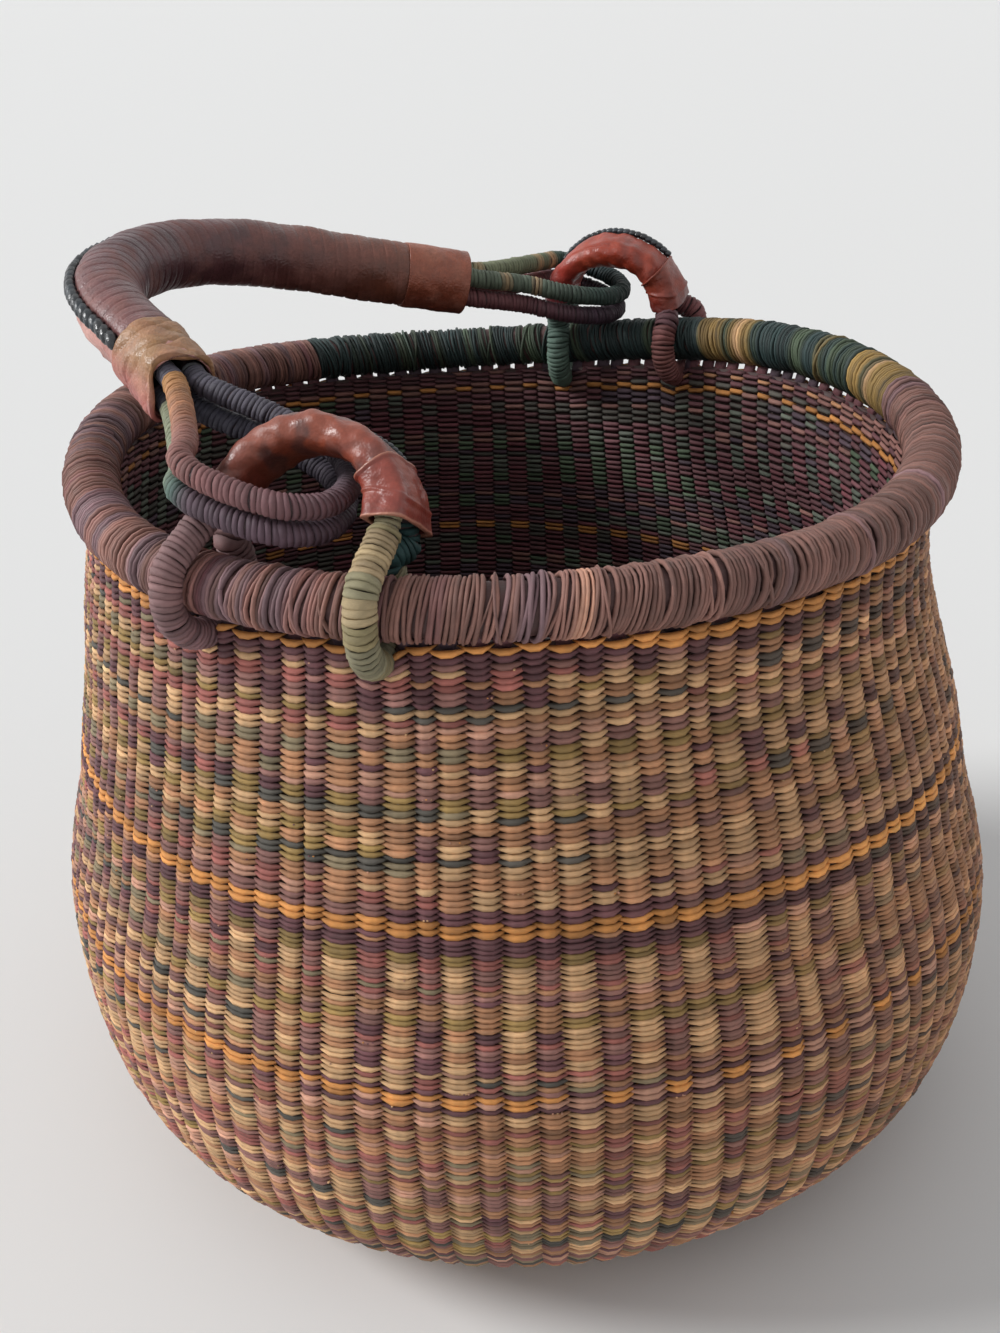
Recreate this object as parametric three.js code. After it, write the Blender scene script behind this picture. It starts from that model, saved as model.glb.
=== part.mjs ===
// Round woven market basket with a wrapped rim, two rope ears and a leather handle.
// Millimetres, +Z up, base on z 0, the handle swings about a line along Y.
import * as THREE from "three";

// Wall, read from the base edge up to the rim as radius and height.
const wallProfile = [
  [135, 1],
  [160, 5.9],
  [186, 19],
  [205.5, 36],
  [215.5, 51],
  [222, 68],
  [226, 90],
  [227.5, 112],
  [227, 133],
  [222, 157],
  [215, 181],
  [210, 206],
  [204, 230],
  [196, 256],
  [190, 280],
  [188, 300],
  [188, 317.6],
];
const wallThickness = 6.4;
const ribCount = 120;
const ribRelief = 0.8;
const innerWallSides = 40;
const baseThickness = 6.6;
const baseBelly = 1.6;
const baseSides = 48;
const courseLevels = { foot: 4, belly: 2, shoulder: 3 };

// Bands of two coloured rows, by the height of their middle.
const lowBandHeight = 143;
const middleBandHeight = 210;
const lowBandWidth = 4.6;
const bandWidth = 5.6;

// Rim roll.
const rimRadius = 188;
const rimHeight = 329.6;
const rimRollRadius = 12;
const rimCoreRadius = 8.6;
const rimRollSides = 10;
const rimCoreSides = 6;
const rimSteps = 60;
const rimLengths = [
  { name: "mauve_left", start: 144, end: 294, colour: "mauveStraw" },
  { name: "pale_front", start: 294, end: 306, colour: "paleStraw" },
  { name: "mauve_right", start: 306, end: 384, colour: "mauveStraw" },
  { name: "pale_right", start: 24, end: 36, colour: "paleStraw" },
  { name: "green_right", start: 36, end: 60, colour: "greenStraw" },
  { name: "pale_far", start: 60, end: 72, colour: "paleStraw" },
  { name: "green_far", start: 72, end: 144, colour: "greenStraw" },
];

// Hand-made unevenness of the mouth: turns around, share or rise, and direction in degrees.
const radiusWaves = [
  { turns: 2, share: 0.0458, direction: -33.1 },
  { turns: 3, share: 0.0199, direction: 17.7 },
];
const heightWaves = [
  { turns: 1, rise: 4.6, direction: 34.3 },
  { turns: 2, rise: 4.8, direction: 35.6 },
  { turns: 3, rise: 3.5, direction: 57.3 },
];
const waveStartShare = 0.6;
const sideBulge = { out: 7, direction: 204, height: 278, reach: 36 };

// Ears: rope rings round the rim, pinched in a leather sleeve.
const earDirections = { near: -90, far: 90 };
const earLeans = { near: 35, far: 10 };
const footDirections = { near: { left: -102, right: -79.5 }, far: { left: 100.5, right: 78 } };
const earOffsets = { near: 0, far: 0 };
const archRadii = { near: 35, far: 31.5 };
const archRises = { near: 16.4, far: 20.9 };
const earRopeRadius = 6.6;
const pinchedRopeRadius = 5.2;
const earSleeveLeather = 1;
const earCollarLeather = 1.1;
const archStep = 16;
const archEnd = 80;
const flareStart = 64;
const flareWidth = 2.5;
const sleeveAngles = [-80, 64];
const earCollarAngles = [48, 80];
const edgingAngles = [-64, 48];
const edgingTurns = { near: -1, far: 1 };
const edgingRadius = 1.5;
const edgingSides = 6;
const halfRoundPoints = 6;
const footLoopStart = 40;
const footLoopTurn = -260;
const footLoopSteps = 10;
const footDipReach = 9.2;
const footDipFade = 20;
const footDipSharpness = 4;
const footFineSteps = 4;

// Handle: two long rope rings side by side, held together by a leather grip.
const hingeRise = 24.4;
const handleTilt = 74;
const handleRopeRadius = 5.2;
const bundleLine = [
  [-124, 80],
  [-108, 102],
  [-95, 123],
  [-83, 143],
  [-66, 160],
  [-44, 171],
  [-16, 176],
  [10, 174],
  [38, 160],
  [64, 133],
  [86, 103],
  [106, 76],
  [117, 61],
];
// End loops, from the outer strand round to the inner one: beyond the ear's arch, and out.
const loopLines = {
  near: [
    [7, 50],
    [16.5, 46],
    [22.3, 37.5],
    [24, 27],
    [23.2, 12],
    [18.5, 0],
    [8.5, -8],
    [-4, -9],
    [-17, -5],
    [-28, 3],
    [-35.5, 14],
    [-39, 27],
    [-42, 43],
  ],
  far: [
    [5, 46.5],
    [16.5, 43],
    [22, 33],
    [23, 21],
    [19, 9],
    [10, 1],
    [-2, -2],
    [-14, 0],
    [-24, 6],
    [-32, 14],
    [-38, 25],
    [-42, 36],
  ],
};
const gripSleeveLeather = 0.9;
const gripWrapLeather = 1.1;
const gripCollarLeather = 1.3;
const gripShares = [0.02, 0.98];
const gripSteps = 20;
const collarSteps = 2;
const gripSides = 14;
const wrapSides = 10;
const wrapFirstSide = 1;
const lacingRadius = 1.7;
const lacingSides = 6;

const touchGap = 0.3;
const ropeSides = 8;

const fullTurn = 360;
const halfTurn = 180;
const wallLineDivisions = 800;
const heightSearchPasses = 40;
const closestAzimuths = 0.1;
const strawRoughness = 0.8;
const leatherRoughness = 0.5;

const up = new THREE.Vector3(0, 0, 1);
const radians = THREE.MathUtils.degToRad;

// Materials.
const colours = {
  naturalStraw: 0x8f8260,
  mauveStraw: 0x7a5a55,
  orangeStraw: 0xc98a4b,
  greenStraw: 0x3f5148,
  paleStraw: 0xa59a6a,
  rimPith: 0x9a8a62,
  darkLeather: 0x6e3a30,
  pinkLeather: 0xa5695c,
  redLeather: 0x9c4a35,
  tanLeather: 0x96583f,
  blackLeather: 0x26262a,
  roseRope: 0x93625c,
  purpleRope: 0x5d4b52,
};

function straw(colour) {
  return new THREE.MeshStandardMaterial({ color: colour, roughness: strawRoughness });
}

function leather(colour) {
  return new THREE.MeshStandardMaterial({ color: colour, roughness: leatherRoughness });
}

const basket = new THREE.Group();
basket.name = "bolga_basket";

// Solids from rings of points. Each ring carries the share of the way round of every point.
function ringOf(points, shares) {
  return { points, shares: shares ?? points.map((_, index) => index / points.length) };
}

function bandBetween(faces, first, second) {
  const firstCount = first.points.length;
  const secondCount = second.points.length;
  let i = 0;
  let j = 0;
  while (i < firstCount || j < secondCount) {
    const nextFirst = i < firstCount ? (i + 1 < firstCount ? first.shares[i + 1] : 1) : Infinity;
    const nextSecond = j < secondCount ? (j + 1 < secondCount ? second.shares[j + 1] : 1) : Infinity;
    const a = first.points[i % firstCount];
    const b = second.points[j % secondCount];
    if (nextFirst <= nextSecond) {
      faces.push([a, first.points[(i + 1) % firstCount], b]);
      i += 1;
    } else {
      faces.push([a, second.points[(j + 1) % secondCount], b]);
      j += 1;
    }
  }
}

function capOver(faces, ring, outwards) {
  const middle = new THREE.Vector3();
  ring.points.forEach((point) => middle.add(point));
  middle.divideScalar(ring.points.length);
  ring.points.forEach((point, index) => {
    const next = ring.points[(index + 1) % ring.points.length];
    faces.push(outwards ? [point, next, middle] : [next, point, middle]);
  });
}

function solidFrom(faces) {
  let volume = 0;
  for (const [a, b, c] of faces) {
    volume += a.dot(new THREE.Vector3().crossVectors(b, c));
  }
  const positions = [];
  for (const face of faces) {
    const [a, b, c] = volume > 0 ? face : [face[0], face[2], face[1]];
    positions.push(a.x, a.y, a.z, b.x, b.y, b.z, c.x, c.y, c.z);
  }
  const geometry = new THREE.BufferGeometry();
  geometry.setAttribute("position", new THREE.Float32BufferAttribute(positions, 3));
  geometry.computeVertexNormals();
  return geometry;
}

function solidLoft(rings) {
  const faces = [];
  for (let index = 1; index < rings.length; index += 1) {
    bandBetween(faces, rings[index - 1], rings[index]);
  }
  capOver(faces, rings[0], false);
  capOver(faces, rings[rings.length - 1], true);
  return solidFrom(faces);
}

function closedLoft(rings) {
  const faces = [];
  rings.forEach((ring, index) => bandBetween(faces, ring, rings[(index + 1) % rings.length]));
  return solidFrom(faces);
}

function shellLoft(outerRings, innerRings) {
  const faces = [];
  const last = outerRings.length - 1;
  const lastInner = innerRings.length - 1;
  for (let index = 1; index <= last; index += 1) {
    bandBetween(faces, outerRings[index - 1], outerRings[index]);
  }
  bandBetween(faces, outerRings[last], innerRings[lastInner]);
  for (let index = lastInner; index > 0; index -= 1) {
    bandBetween(faces, innerRings[index], innerRings[index - 1]);
  }
  bandBetween(faces, innerRings[0], outerRings[0]);
  return solidFrom(faces);
}

function addPiece(name, geometry, material) {
  const mesh = new THREE.Mesh(geometry, material);
  mesh.name = name;
  basket.add(mesh);
}

// Unevenness of the mouth.
function radiusShare(azimuth) {
  let share = 1;
  for (const wave of radiusWaves) {
    share += wave.share * Math.cos(wave.turns * radians(azimuth - wave.direction));
  }
  return share;
}

function mouthRise(azimuth) {
  let rise = 0;
  for (const wave of heightWaves) {
    rise += wave.rise * Math.cos(wave.turns * radians(azimuth - wave.direction));
  }
  return rise;
}

function rimPoint(azimuth) {
  const radius = rimRadius * radiusShare(azimuth);
  return new THREE.Vector3(
    radius * Math.cos(radians(azimuth)),
    radius * Math.sin(radians(azimuth)),
    rimHeight + mouthRise(azimuth),
  );
}

function outwardsAt(azimuth) {
  return new THREE.Vector3(Math.cos(radians(azimuth)), Math.sin(radians(azimuth)), 0);
}

// The weft is pushed down where an ear's rope goes through below the rim.
const footAzimuths = Object.values(footDirections).flatMap((feet) => Object.values(feet));
const wallTop = rimHeight - rimRollRadius - touchGap;
const footLoopRadius = rimRollRadius + earRopeRadius + 2 * touchGap;
const footDipDepth = footLoopRadius + earRopeRadius + 2 * touchGap - (rimHeight - wallTop);

function footDip(azimuth, height) {
  let dip = 0;
  for (const foot of footAzimuths) {
    const turn = THREE.MathUtils.euclideanModulo(azimuth - foot + halfTurn, fullTurn) - halfTurn;
    const along = radians(turn) * rimRadius;
    dip += footDipDepth / (1 + (along / footDipReach) ** footDipSharpness);
  }
  return dip * Math.exp(-Math.max(0, wallTop - height) / footDipFade);
}

// Wall surface. Its profile follows the rim when the rim's radius or height changes.
const [profileTopRadius, profileTopHeight] = wallProfile[wallProfile.length - 1];
const wallWidening = rimRadius / profileTopRadius;
const wallStretch = (rimHeight - rimRollRadius) / profileTopHeight;
const wallLine = new THREE.CatmullRomCurve3(
  wallProfile.map(
    ([radius, height]) => new THREE.Vector3(radius * wallWidening, 0, height * wallStretch),
  ),
);
wallLine.arcLengthDivisions = wallLineDivisions;

function wallShareAt(height) {
  let low = 0;
  let high = 1;
  for (let pass = 0; pass < heightSearchPasses; pass += 1) {
    const middle = (low + high) / 2;
    if (wallLine.getPointAt(middle).z < height) {
      low = middle;
    } else {
      high = middle;
    }
  }
  return low;
}

// The wall stands out a little more on one side, below the rim.
function bulgeAt(azimuth, height) {
  const facing = Math.max(0, Math.cos(radians(azimuth - sideBulge.direction)));
  return sideBulge.out * facing * Math.exp(-(((height - sideBulge.height) / sideBulge.reach) ** 2));
}

function wallPoint(share, azimuth, inset) {
  const point = wallLine.getPointAt(share);
  const along = wallLine.getTangentAt(share);
  const mean = point.x - along.z * inset + bulgeAt(azimuth, point.z);
  const radius = mean * radiusShare(azimuth);
  const height = point.z + along.x * inset;
  const waveShare = Math.max(0, (height / rimHeight - waveStartShare) / (1 - waveStartShare));
  return new THREE.Vector3(
    radius * Math.cos(radians(azimuth)),
    radius * Math.sin(radians(azimuth)),
    height + waveShare * mouthRise(azimuth) - footDip(azimuth, point.z),
  );
}

function bandRing(share) {
  const points = [];
  for (let index = 0; index < ribCount; index += 1) {
    points.push(wallPoint(share, (fullTurn * index) / ribCount, -ribRelief));
  }
  return ringOf(points);
}

function ribbedRing(share) {
  const points = [];
  for (let index = 0; index < 2 * ribCount; index += 1) {
    const inset = index % 2 === 0 ? -ribRelief : ribRelief;
    points.push(wallPoint(share, (halfTurn * index) / ribCount, inset));
  }
  return ringOf(points);
}

function innerAzimuths(withFeet) {
  const azimuths = [];
  for (let index = 0; index < innerWallSides; index += 1) {
    azimuths.push((fullTurn * index) / innerWallSides);
  }
  const ribStep = halfTurn / ribCount;
  if (withFeet) {
    for (const foot of footAzimuths) {
      for (let step = -footFineSteps; step <= footFineSteps; step += 1) {
        azimuths.push(THREE.MathUtils.euclideanModulo(foot + step * ribStep, fullTurn));
      }
    }
  }
  azimuths.sort((first, second) => first - second);
  return azimuths.filter(
    (azimuth, index) => index === 0 || azimuth - azimuths[index - 1] > closestAzimuths,
  );
}

function innerRing(share, azimuths) {
  return ringOf(
    azimuths.map((azimuth) => wallPoint(share, azimuth, wallThickness)),
    azimuths.map((azimuth) => azimuth / fullTurn),
  );
}

function addCourse(name, [bottom, top], levels, withFeet, outerRing, material) {
  const first = bottom === null ? 0 : wallShareAt(bottom + touchGap / 2);
  const last = wallShareAt(top - touchGap / 2);
  const azimuths = innerAzimuths(withFeet);
  const outer = [];
  const inner = [];
  for (let level = 0; level <= levels; level += 1) {
    const share = first + ((last - first) * level) / levels;
    outer.push(outerRing(share));
    inner.push(innerRing(share, azimuths));
  }
  addPiece(name, shellLoft(outer, inner), material);
}

function addWall() {
  const lowBand = lowBandHeight - lowBandWidth / 2;
  const middleBand = middleBandHeight - bandWidth / 2;
  const topBand = wallTop - bandWidth;
  const natural = straw(colours.naturalStraw);
  const orange = straw(colours.orangeStraw);
  const { foot, belly, shoulder } = courseLevels;
  addCourse("wall_foot", [null, lowBand], foot, false, ribbedRing, natural);
  addCourse("band_low", [lowBand, lowBand + lowBandWidth], 1, false, bandRing, orange);
  const bellyHeights = [lowBand + lowBandWidth, middleBand];
  addCourse("wall_belly", bellyHeights, belly, false, ribbedRing, natural.clone());
  const middleHeights = [middleBand, middleBand + bandWidth];
  addCourse("band_middle", middleHeights, 1, false, bandRing, orange.clone());
  const shoulderHeights = [middleBand + bandWidth, topBand];
  addCourse("wall_shoulder", shoulderHeights, shoulder, true, ribbedRing, natural.clone());
  addCourse("band_top", [topBand, wallTop], 1, true, ribbedRing, orange.clone());
}

// Flat woven floor, standing on its underside.
function addBase() {
  const edge = wallProfile[0][0] * wallWidening - ribRelief - 2 * touchGap;
  const radii = [edge - baseBelly, edge, edge, edge - baseBelly];
  const heights = [0, baseBelly, baseThickness - baseBelly, baseThickness];
  const rings = radii.map((radius, level) => {
    const points = [];
    for (let index = 0; index < baseSides; index += 1) {
      const azimuth = (fullTurn * index) / baseSides;
      const point = outwardsAt(azimuth).multiplyScalar(radius * radiusShare(azimuth));
      points.push(point.setZ(heights[level]));
    }
    return ringOf(points);
  });
  addPiece("base_floor", solidLoft(rings), straw(colours.naturalStraw));
}

// Rim roll: a core of bundled stems, wrapped in lengths of straw of one colour each.
function rimSection(azimuth, radius, sides) {
  const centre = rimPoint(azimuth);
  const outwards = outwardsAt(azimuth);
  const points = [];
  for (let side = 0; side < sides; side += 1) {
    const angle = (2 * Math.PI * side) / sides;
    const point = centre.clone().addScaledVector(outwards, radius * Math.cos(angle));
    points.push(point.addScaledVector(up, radius * Math.sin(angle)));
  }
  return ringOf(points);
}

function addRimWrap(name, start, end, material) {
  const halfGap = THREE.MathUtils.radToDeg(touchGap / 2 / rimRadius);
  const step = fullTurn / rimSteps;
  const azimuths = [start + halfGap];
  for (let azimuth = start + step; azimuth < end; azimuth += step) {
    azimuths.push(azimuth);
  }
  azimuths.push(end - halfGap);
  const boreRadius = rimCoreRadius + touchGap / Math.cos(Math.PI / rimCoreSides);
  const outer = azimuths.map((azimuth) => rimSection(azimuth, rimRollRadius, rimRollSides));
  const inner = azimuths.map((azimuth) => rimSection(azimuth, boreRadius, rimCoreSides));
  addPiece(name, shellLoft(outer, inner), material);
}

function addRim() {
  const rings = [];
  for (let index = 0; index < rimSteps; index += 1) {
    rings.push(rimSection((fullTurn * index) / rimSteps, rimCoreRadius, rimCoreSides));
  }
  addPiece("rim_core", closedLoft(rings), straw(colours.rimPith));
  for (const { name, start, end, colour } of rimLengths) {
    addRimWrap(`rim_wrap_${name}`, start, end, straw(colours[colour]));
  }
}

// Round section of a cord at a point of its path.
function cordSection(centre, across, beside, radius, sides) {
  const points = [];
  for (let side = 0; side < sides; side += 1) {
    const angle = (2 * Math.PI * side) / sides;
    const point = centre.clone().addScaledVector(across, radius * Math.cos(angle));
    points.push(point.addScaledVector(beside, radius * Math.sin(angle)));
  }
  return ringOf(points);
}

// Ear frame: along X, outwards across the ear and up its lean.
function earFrame(side) {
  const outwards = outwardsAt(earDirections[side]);
  const along = new THREE.Vector3(1, 0, 0);
  const lean = radians(earLeans[side]);
  const upwards = up.clone().multiplyScalar(Math.cos(lean)).addScaledVector(outwards, -Math.sin(lean));
  const across = outwards.clone().addScaledVector(upwards, -outwards.dot(upwards)).normalize();
  const { left, right } = footDirections[side];
  const feet = { left: rimPoint(left), right: rimPoint(right) };
  const middle = new THREE.Vector3().addVectors(feet.left, feet.right).divideScalar(2);
  const rise = (rimHeight + archRises[side] - middle.z) / Math.cos(lean);
  const centre = middle.addScaledVector(upwards, rise).setX(earOffsets[side]);
  return { outwards, along, upwards, across, feet, centre, radius: archRadii[side] };
}

// Angles on the arch are counted from its crown towards +X.
function archPoint(frame, angle, across) {
  return frame.centre
    .clone()
    .addScaledVector(frame.along, frame.radius * Math.sin(radians(angle)))
    .addScaledVector(frame.upwards, frame.radius * Math.cos(radians(angle)))
    .addScaledVector(frame.across, across);
}

// The strands lie side by side over the crown and spread towards the feet.
function strandSpread(angle) {
  const flare = Math.max(0, Math.abs(angle) - flareStart) / (archEnd - flareStart);
  return pinchedRopeRadius + touchGap / 2 + flare * flareWidth;
}

function archAngles() {
  const angles = [-archEnd - archStep / 2];
  for (let angle = -archEnd; angle <= archEnd; angle += archStep) {
    angles.push(angle);
  }
  angles.push(archEnd + archStep / 2);
  return angles;
}

// The pinched rope ring: over the crown, round the rim at a foot, back over the crown and round.
function earRopePath(side, frame) {
  const points = [];
  const radii = [];
  for (const turn of [1, -1]) {
    for (const angle of archAngles()) {
      points.push(archPoint(frame, turn * angle, turn * strandSpread(angle)));
      radii.push(pinchedRopeRadius);
    }
    const end = turn === 1 ? "right" : "left";
    const azimuth = footDirections[side][end];
    const foot = frame.feet[end];
    for (let step = 0; step <= footLoopSteps; step += 1) {
      const angle = footLoopStart + (footLoopTurn * step) / footLoopSteps;
      const outwards = turn * Math.cos(radians(angle)) * footLoopRadius;
      const upwards = Math.sin(radians(angle)) * footLoopRadius;
      const point = foot.clone().addScaledVector(outwardsAt(azimuth), outwards);
      points.push(point.addScaledVector(up, upwards));
      radii.push(earRopeRadius);
    }
  }
  return { points, radii };
}

function addEarRope(side, frame) {
  const { points, radii } = earRopePath(side, frame);
  const count = points.length;
  const rings = points.map((point, index) => {
    const tangent = points[(index + 1) % count].clone().sub(points[(index + count - 1) % count]);
    return { point, tangent: tangent.normalize(), across: frame.across };
  });
  // Each section follows from the one before, and the leftover twist is shared out.
  let across = frame.upwards.clone();
  for (const ring of rings) {
    across.addScaledVector(ring.tangent, -across.dot(ring.tangent)).normalize();
    ring.across = across.clone();
  }
  across.addScaledVector(rings[0].tangent, -across.dot(rings[0].tangent)).normalize();
  const beside = new THREE.Vector3().crossVectors(rings[0].tangent, rings[0].across);
  const twist = Math.atan2(across.dot(beside), across.dot(rings[0].across));
  const sections = rings.map(({ point, tangent, across: start }, index) => {
    const turned = start.clone().applyAxisAngle(tangent, (-twist * index) / count);
    const next = new THREE.Vector3().crossVectors(tangent, turned);
    return cordSection(point, turned, next, radii[index], ropeSides);
  });
  addPiece(`ear_${side}_rope`, closedLoft(sections), straw(colours.mauveStraw));
}

// Oblong section round the two strands of an ear: straight sides between two half rounds.
function oblongSection(frame, angle, radius) {
  const centre = archPoint(frame, angle, 0);
  const away = frame.along.clone().multiplyScalar(Math.sin(radians(angle)));
  away.addScaledVector(frame.upwards, Math.cos(radians(angle)));
  const halfStraight = strandSpread(angle);
  const points = [];
  for (let index = 0; index < 2 * halfRoundPoints; index += 1) {
    const turn = (Math.PI * (index % halfRoundPoints)) / (halfRoundPoints - 1) - Math.PI / 2;
    const sign = index < halfRoundPoints ? 1 : -1;
    const point = centre.clone();
    point.addScaledVector(frame.across, sign * (halfStraight + radius * Math.cos(turn)));
    point.addScaledVector(away, sign * radius * Math.sin(turn));
    points.push(point);
  }
  return ringOf(points);
}

const halfFacet = Math.PI / (2 * (halfRoundPoints - 1));
const sleeveBore = (pinchedRopeRadius + touchGap) / Math.cos(halfFacet);
const sleeveOutside = sleeveBore + earSleeveLeather;
const earCollarBore = sleeveOutside + touchGap;
const earCollarOutside = earCollarBore + earCollarLeather;

function addEarSkin(name, frame, [start, end], bore, outside, material) {
  const angles = [];
  for (let angle = start; angle <= end; angle += archStep) {
    angles.push(angle);
  }
  const outer = angles.map((angle) => oblongSection(frame, angle, outside));
  const inner = angles.map((angle) => oblongSection(frame, angle, bore));
  addPiece(name, shellLoft(outer, inner), material);
}

// Stitched black edge along the top of the sleeve, on one of its two sides.
function addEdging(side, frame) {
  const [start, end] = edgingAngles;
  const seat = sleeveOutside + edgingRadius + touchGap;
  const rings = [];
  for (let angle = start; angle <= end; angle += archStep) {
    const away = frame.along.clone().multiplyScalar(Math.sin(radians(angle)));
    away.addScaledVector(frame.upwards, Math.cos(radians(angle)));
    const sidewards = frame.across.clone().multiplyScalar(edgingTurns[side]);
    const lift = seat * Math.SQRT1_2;
    const centre = archPoint(frame, angle, 0);
    centre.addScaledVector(sidewards, strandSpread(angle) + lift);
    centre.addScaledVector(away, lift);
    rings.push(cordSection(centre, away, sidewards, edgingRadius, edgingSides));
  }
  addPiece(`ear_${side}_edging`, solidLoft(rings), leather(colours.blackLeather));
}

function addEars() {
  for (const side of Object.keys(earDirections)) {
    const frame = earFrame(side);
    addEarRope(side, frame);
    const red = leather(colours.redLeather);
    addEarSkin(`ear_${side}_sleeve`, frame, sleeveAngles, sleeveBore, sleeveOutside, red);
    const dark = leather(colours.darkLeather);
    addEarSkin(`ear_${side}_collar`, frame, earCollarAngles, earCollarBore, earCollarOutside, dark);
    addEdging(side, frame);
  }
}

// Handle plane: along Y and outwards from the hinge line, tilted to the handle's resting side.
const tilt = radians(handleTilt);
const hingeHeight = rimHeight + hingeRise;
const handleOut = new THREE.Vector3(-Math.sin(tilt), 0, Math.cos(tilt));
const handleBeside = new THREE.Vector3(Math.cos(tilt), 0, Math.sin(tilt));

function handlePoint(along, out, beside) {
  return new THREE.Vector3(0, along, hingeHeight)
    .addScaledVector(handleOut, out)
    .addScaledVector(handleBeside, beside);
}

function sharesBetween([start, end], steps) {
  const shares = [];
  for (let step = 0; step <= steps; step += 1) {
    shares.push(start + ((end - start) * step) / steps);
  }
  return shares;
}

const gripStations = sharesBetween(gripShares, gripSteps);

const bundle = new THREE.CatmullRomCurve3(
  bundleLine.map(([along, out]) => new THREE.Vector3(along, out, 0)),
);
const strandOffset = handleRopeRadius + touchGap / 2;

function bundleFrame(share) {
  const point = bundle.getPointAt(share);
  const tangent = bundle.getTangentAt(share);
  return { point, tangent, away: new THREE.Vector3(-tangent.y, tangent.x, 0) };
}

// One end loop: from the bundle's outer strand round the ear's arch to its inner strand.
function endLoop(side) {
  const frame = earFrame(side);
  const sign = side === "near" ? -1 : 1;
  const bar = archPoint(frame, handleTilt, 0).y * sign;
  return loopLines[side].map(([beyond, out]) => [sign * (bar + beyond), out]);
}

// A rope ring: out along the bundle's outer side, round one ear, back inside, round the other.
function handleRingPath() {
  const points = [];
  const shares = [0, ...gripStations, 1];
  for (const share of shares) {
    const { point, away } = bundleFrame(share);
    points.push([point.x + away.x * strandOffset, point.y + away.y * strandOffset]);
  }
  points.push(...endLoop("far"));
  for (const share of shares.slice().reverse()) {
    const { point, away } = bundleFrame(share);
    points.push([point.x - away.x * strandOffset, point.y - away.y * strandOffset]);
  }
  points.push(...endLoop("near").reverse());
  return points;
}

function addHandleRope(name, beside, material) {
  const path = handleRingPath();
  const centres = path.map(([along, out]) => new THREE.Vector3(along, out, 0));
  const rings = centres.map((centre, index) => {
    const before = centres[(index + centres.length - 1) % centres.length];
    const after = centres[(index + 1) % centres.length];
    const tangent = after.clone().sub(before).normalize();
    const away = handlePoint(-tangent.y, tangent.x, 0).sub(handlePoint(0, 0, 0));
    return cordSection(
      handlePoint(centre.x, centre.y, beside),
      away,
      handleBeside,
      handleRopeRadius,
      ropeSides,
    );
  });
  addPiece(name, closedLoft(rings), material);
}

// Round grip section, with angles counted from the handle's outer side over its top face.
const bundleRadius = strandOffset * Math.SQRT2 + handleRopeRadius + touchGap;
const gripBore = bundleRadius / Math.cos(Math.PI / gripSides);
const gripOutside = gripBore + gripSleeveLeather;
const wrapBore = gripOutside + touchGap;
const wrapOutside = wrapBore + gripWrapLeather;
const gripCollarBore = gripOutside + touchGap;
const gripCollarOutside = gripCollarBore + gripCollarLeather;

function gripPoint(share, angle, radius) {
  const { point, away } = bundleFrame(share);
  const out = radius * Math.cos(radians(angle));
  return handlePoint(
    point.x + away.x * out,
    point.y + away.y * out,
    radius * Math.sin(radians(angle)),
  );
}

function addGripTube(name, shares, bore, outside, material) {
  const section = (share, radius) => {
    const points = [];
    for (let side = 0; side < gripSides; side += 1) {
      points.push(gripPoint(share, (fullTurn * side) / gripSides, radius));
    }
    return ringOf(points);
  };
  const outer = shares.map((share) => section(share, outside));
  const inner = shares.map((share) => section(share, bore));
  addPiece(name, shellLoft(outer, inner), material);
}

// Leather strip wound over the sleeve, open along the outer underside.
const wrapEdgeAngle = (fullTurn * wrapFirstSide) / gripSides;
const gripLength = bundle.getLength();

function wrapStations() {
  const stations = gripStations.slice(collarSteps, gripSteps - collarSteps + 1);
  stations[0] += touchGap / gripLength;
  stations[stations.length - 1] -= touchGap / gripLength;
  return stations;
}

function addGripWrap() {
  const rings = wrapStations().map((share) => {
    const points = [];
    for (let side = 0; side <= wrapSides; side += 1) {
      const angle = wrapEdgeAngle + (fullTurn * side) / gripSides;
      points.push(gripPoint(share, angle, wrapOutside));
      points.unshift(gripPoint(share, angle, wrapBore));
    }
    return points;
  });
  const faces = [];
  const count = rings[0].length;
  for (let index = 1; index < rings.length; index += 1) {
    for (let corner = 0; corner < count; corner += 1) {
      const next = (corner + 1) % count;
      const [a, b] = [rings[index - 1][corner], rings[index - 1][next]];
      const [c, d] = [rings[index][next], rings[index][corner]];
      faces.push([a, b, c], [a, c, d]);
    }
  }
  const first = rings[0];
  const last = rings[rings.length - 1];
  for (let side = 0; side < wrapSides; side += 1) {
    const far = count - 1 - side;
    faces.push([first[side + 1], first[side], first[far]]);
    faces.push([first[side + 1], first[far], first[far - 1]]);
    faces.push([last[side], last[side + 1], last[far]]);
    faces.push([last[far], last[side + 1], last[far - 1]]);
  }
  addPiece("grip_wrap", solidFrom(faces), leather(colours.darkLeather));
}

// Black lacing laid on the sleeve along the wrap's edge.
function addLacing() {
  const seat = gripOutside + lacingRadius + touchGap;
  const beyondEdge = (lacingRadius + 2 * touchGap) / gripOutside;
  const angle = wrapEdgeAngle - THREE.MathUtils.radToDeg(beyondEdge);
  const rings = wrapStations().map((share) => {
    const centre = gripPoint(share, angle, seat);
    const away = centre.clone().sub(gripPoint(share, 0, 0)).normalize();
    const { tangent } = bundleFrame(share);
    const along = handlePoint(tangent.x, tangent.y, 0).sub(handlePoint(0, 0, 0));
    const beside = new THREE.Vector3().crossVectors(along, away);
    return cordSection(centre, away, beside, lacingRadius, lacingSides);
  });
  addPiece("grip_lacing", solidLoft(rings), leather(colours.blackLeather));
}

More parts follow.
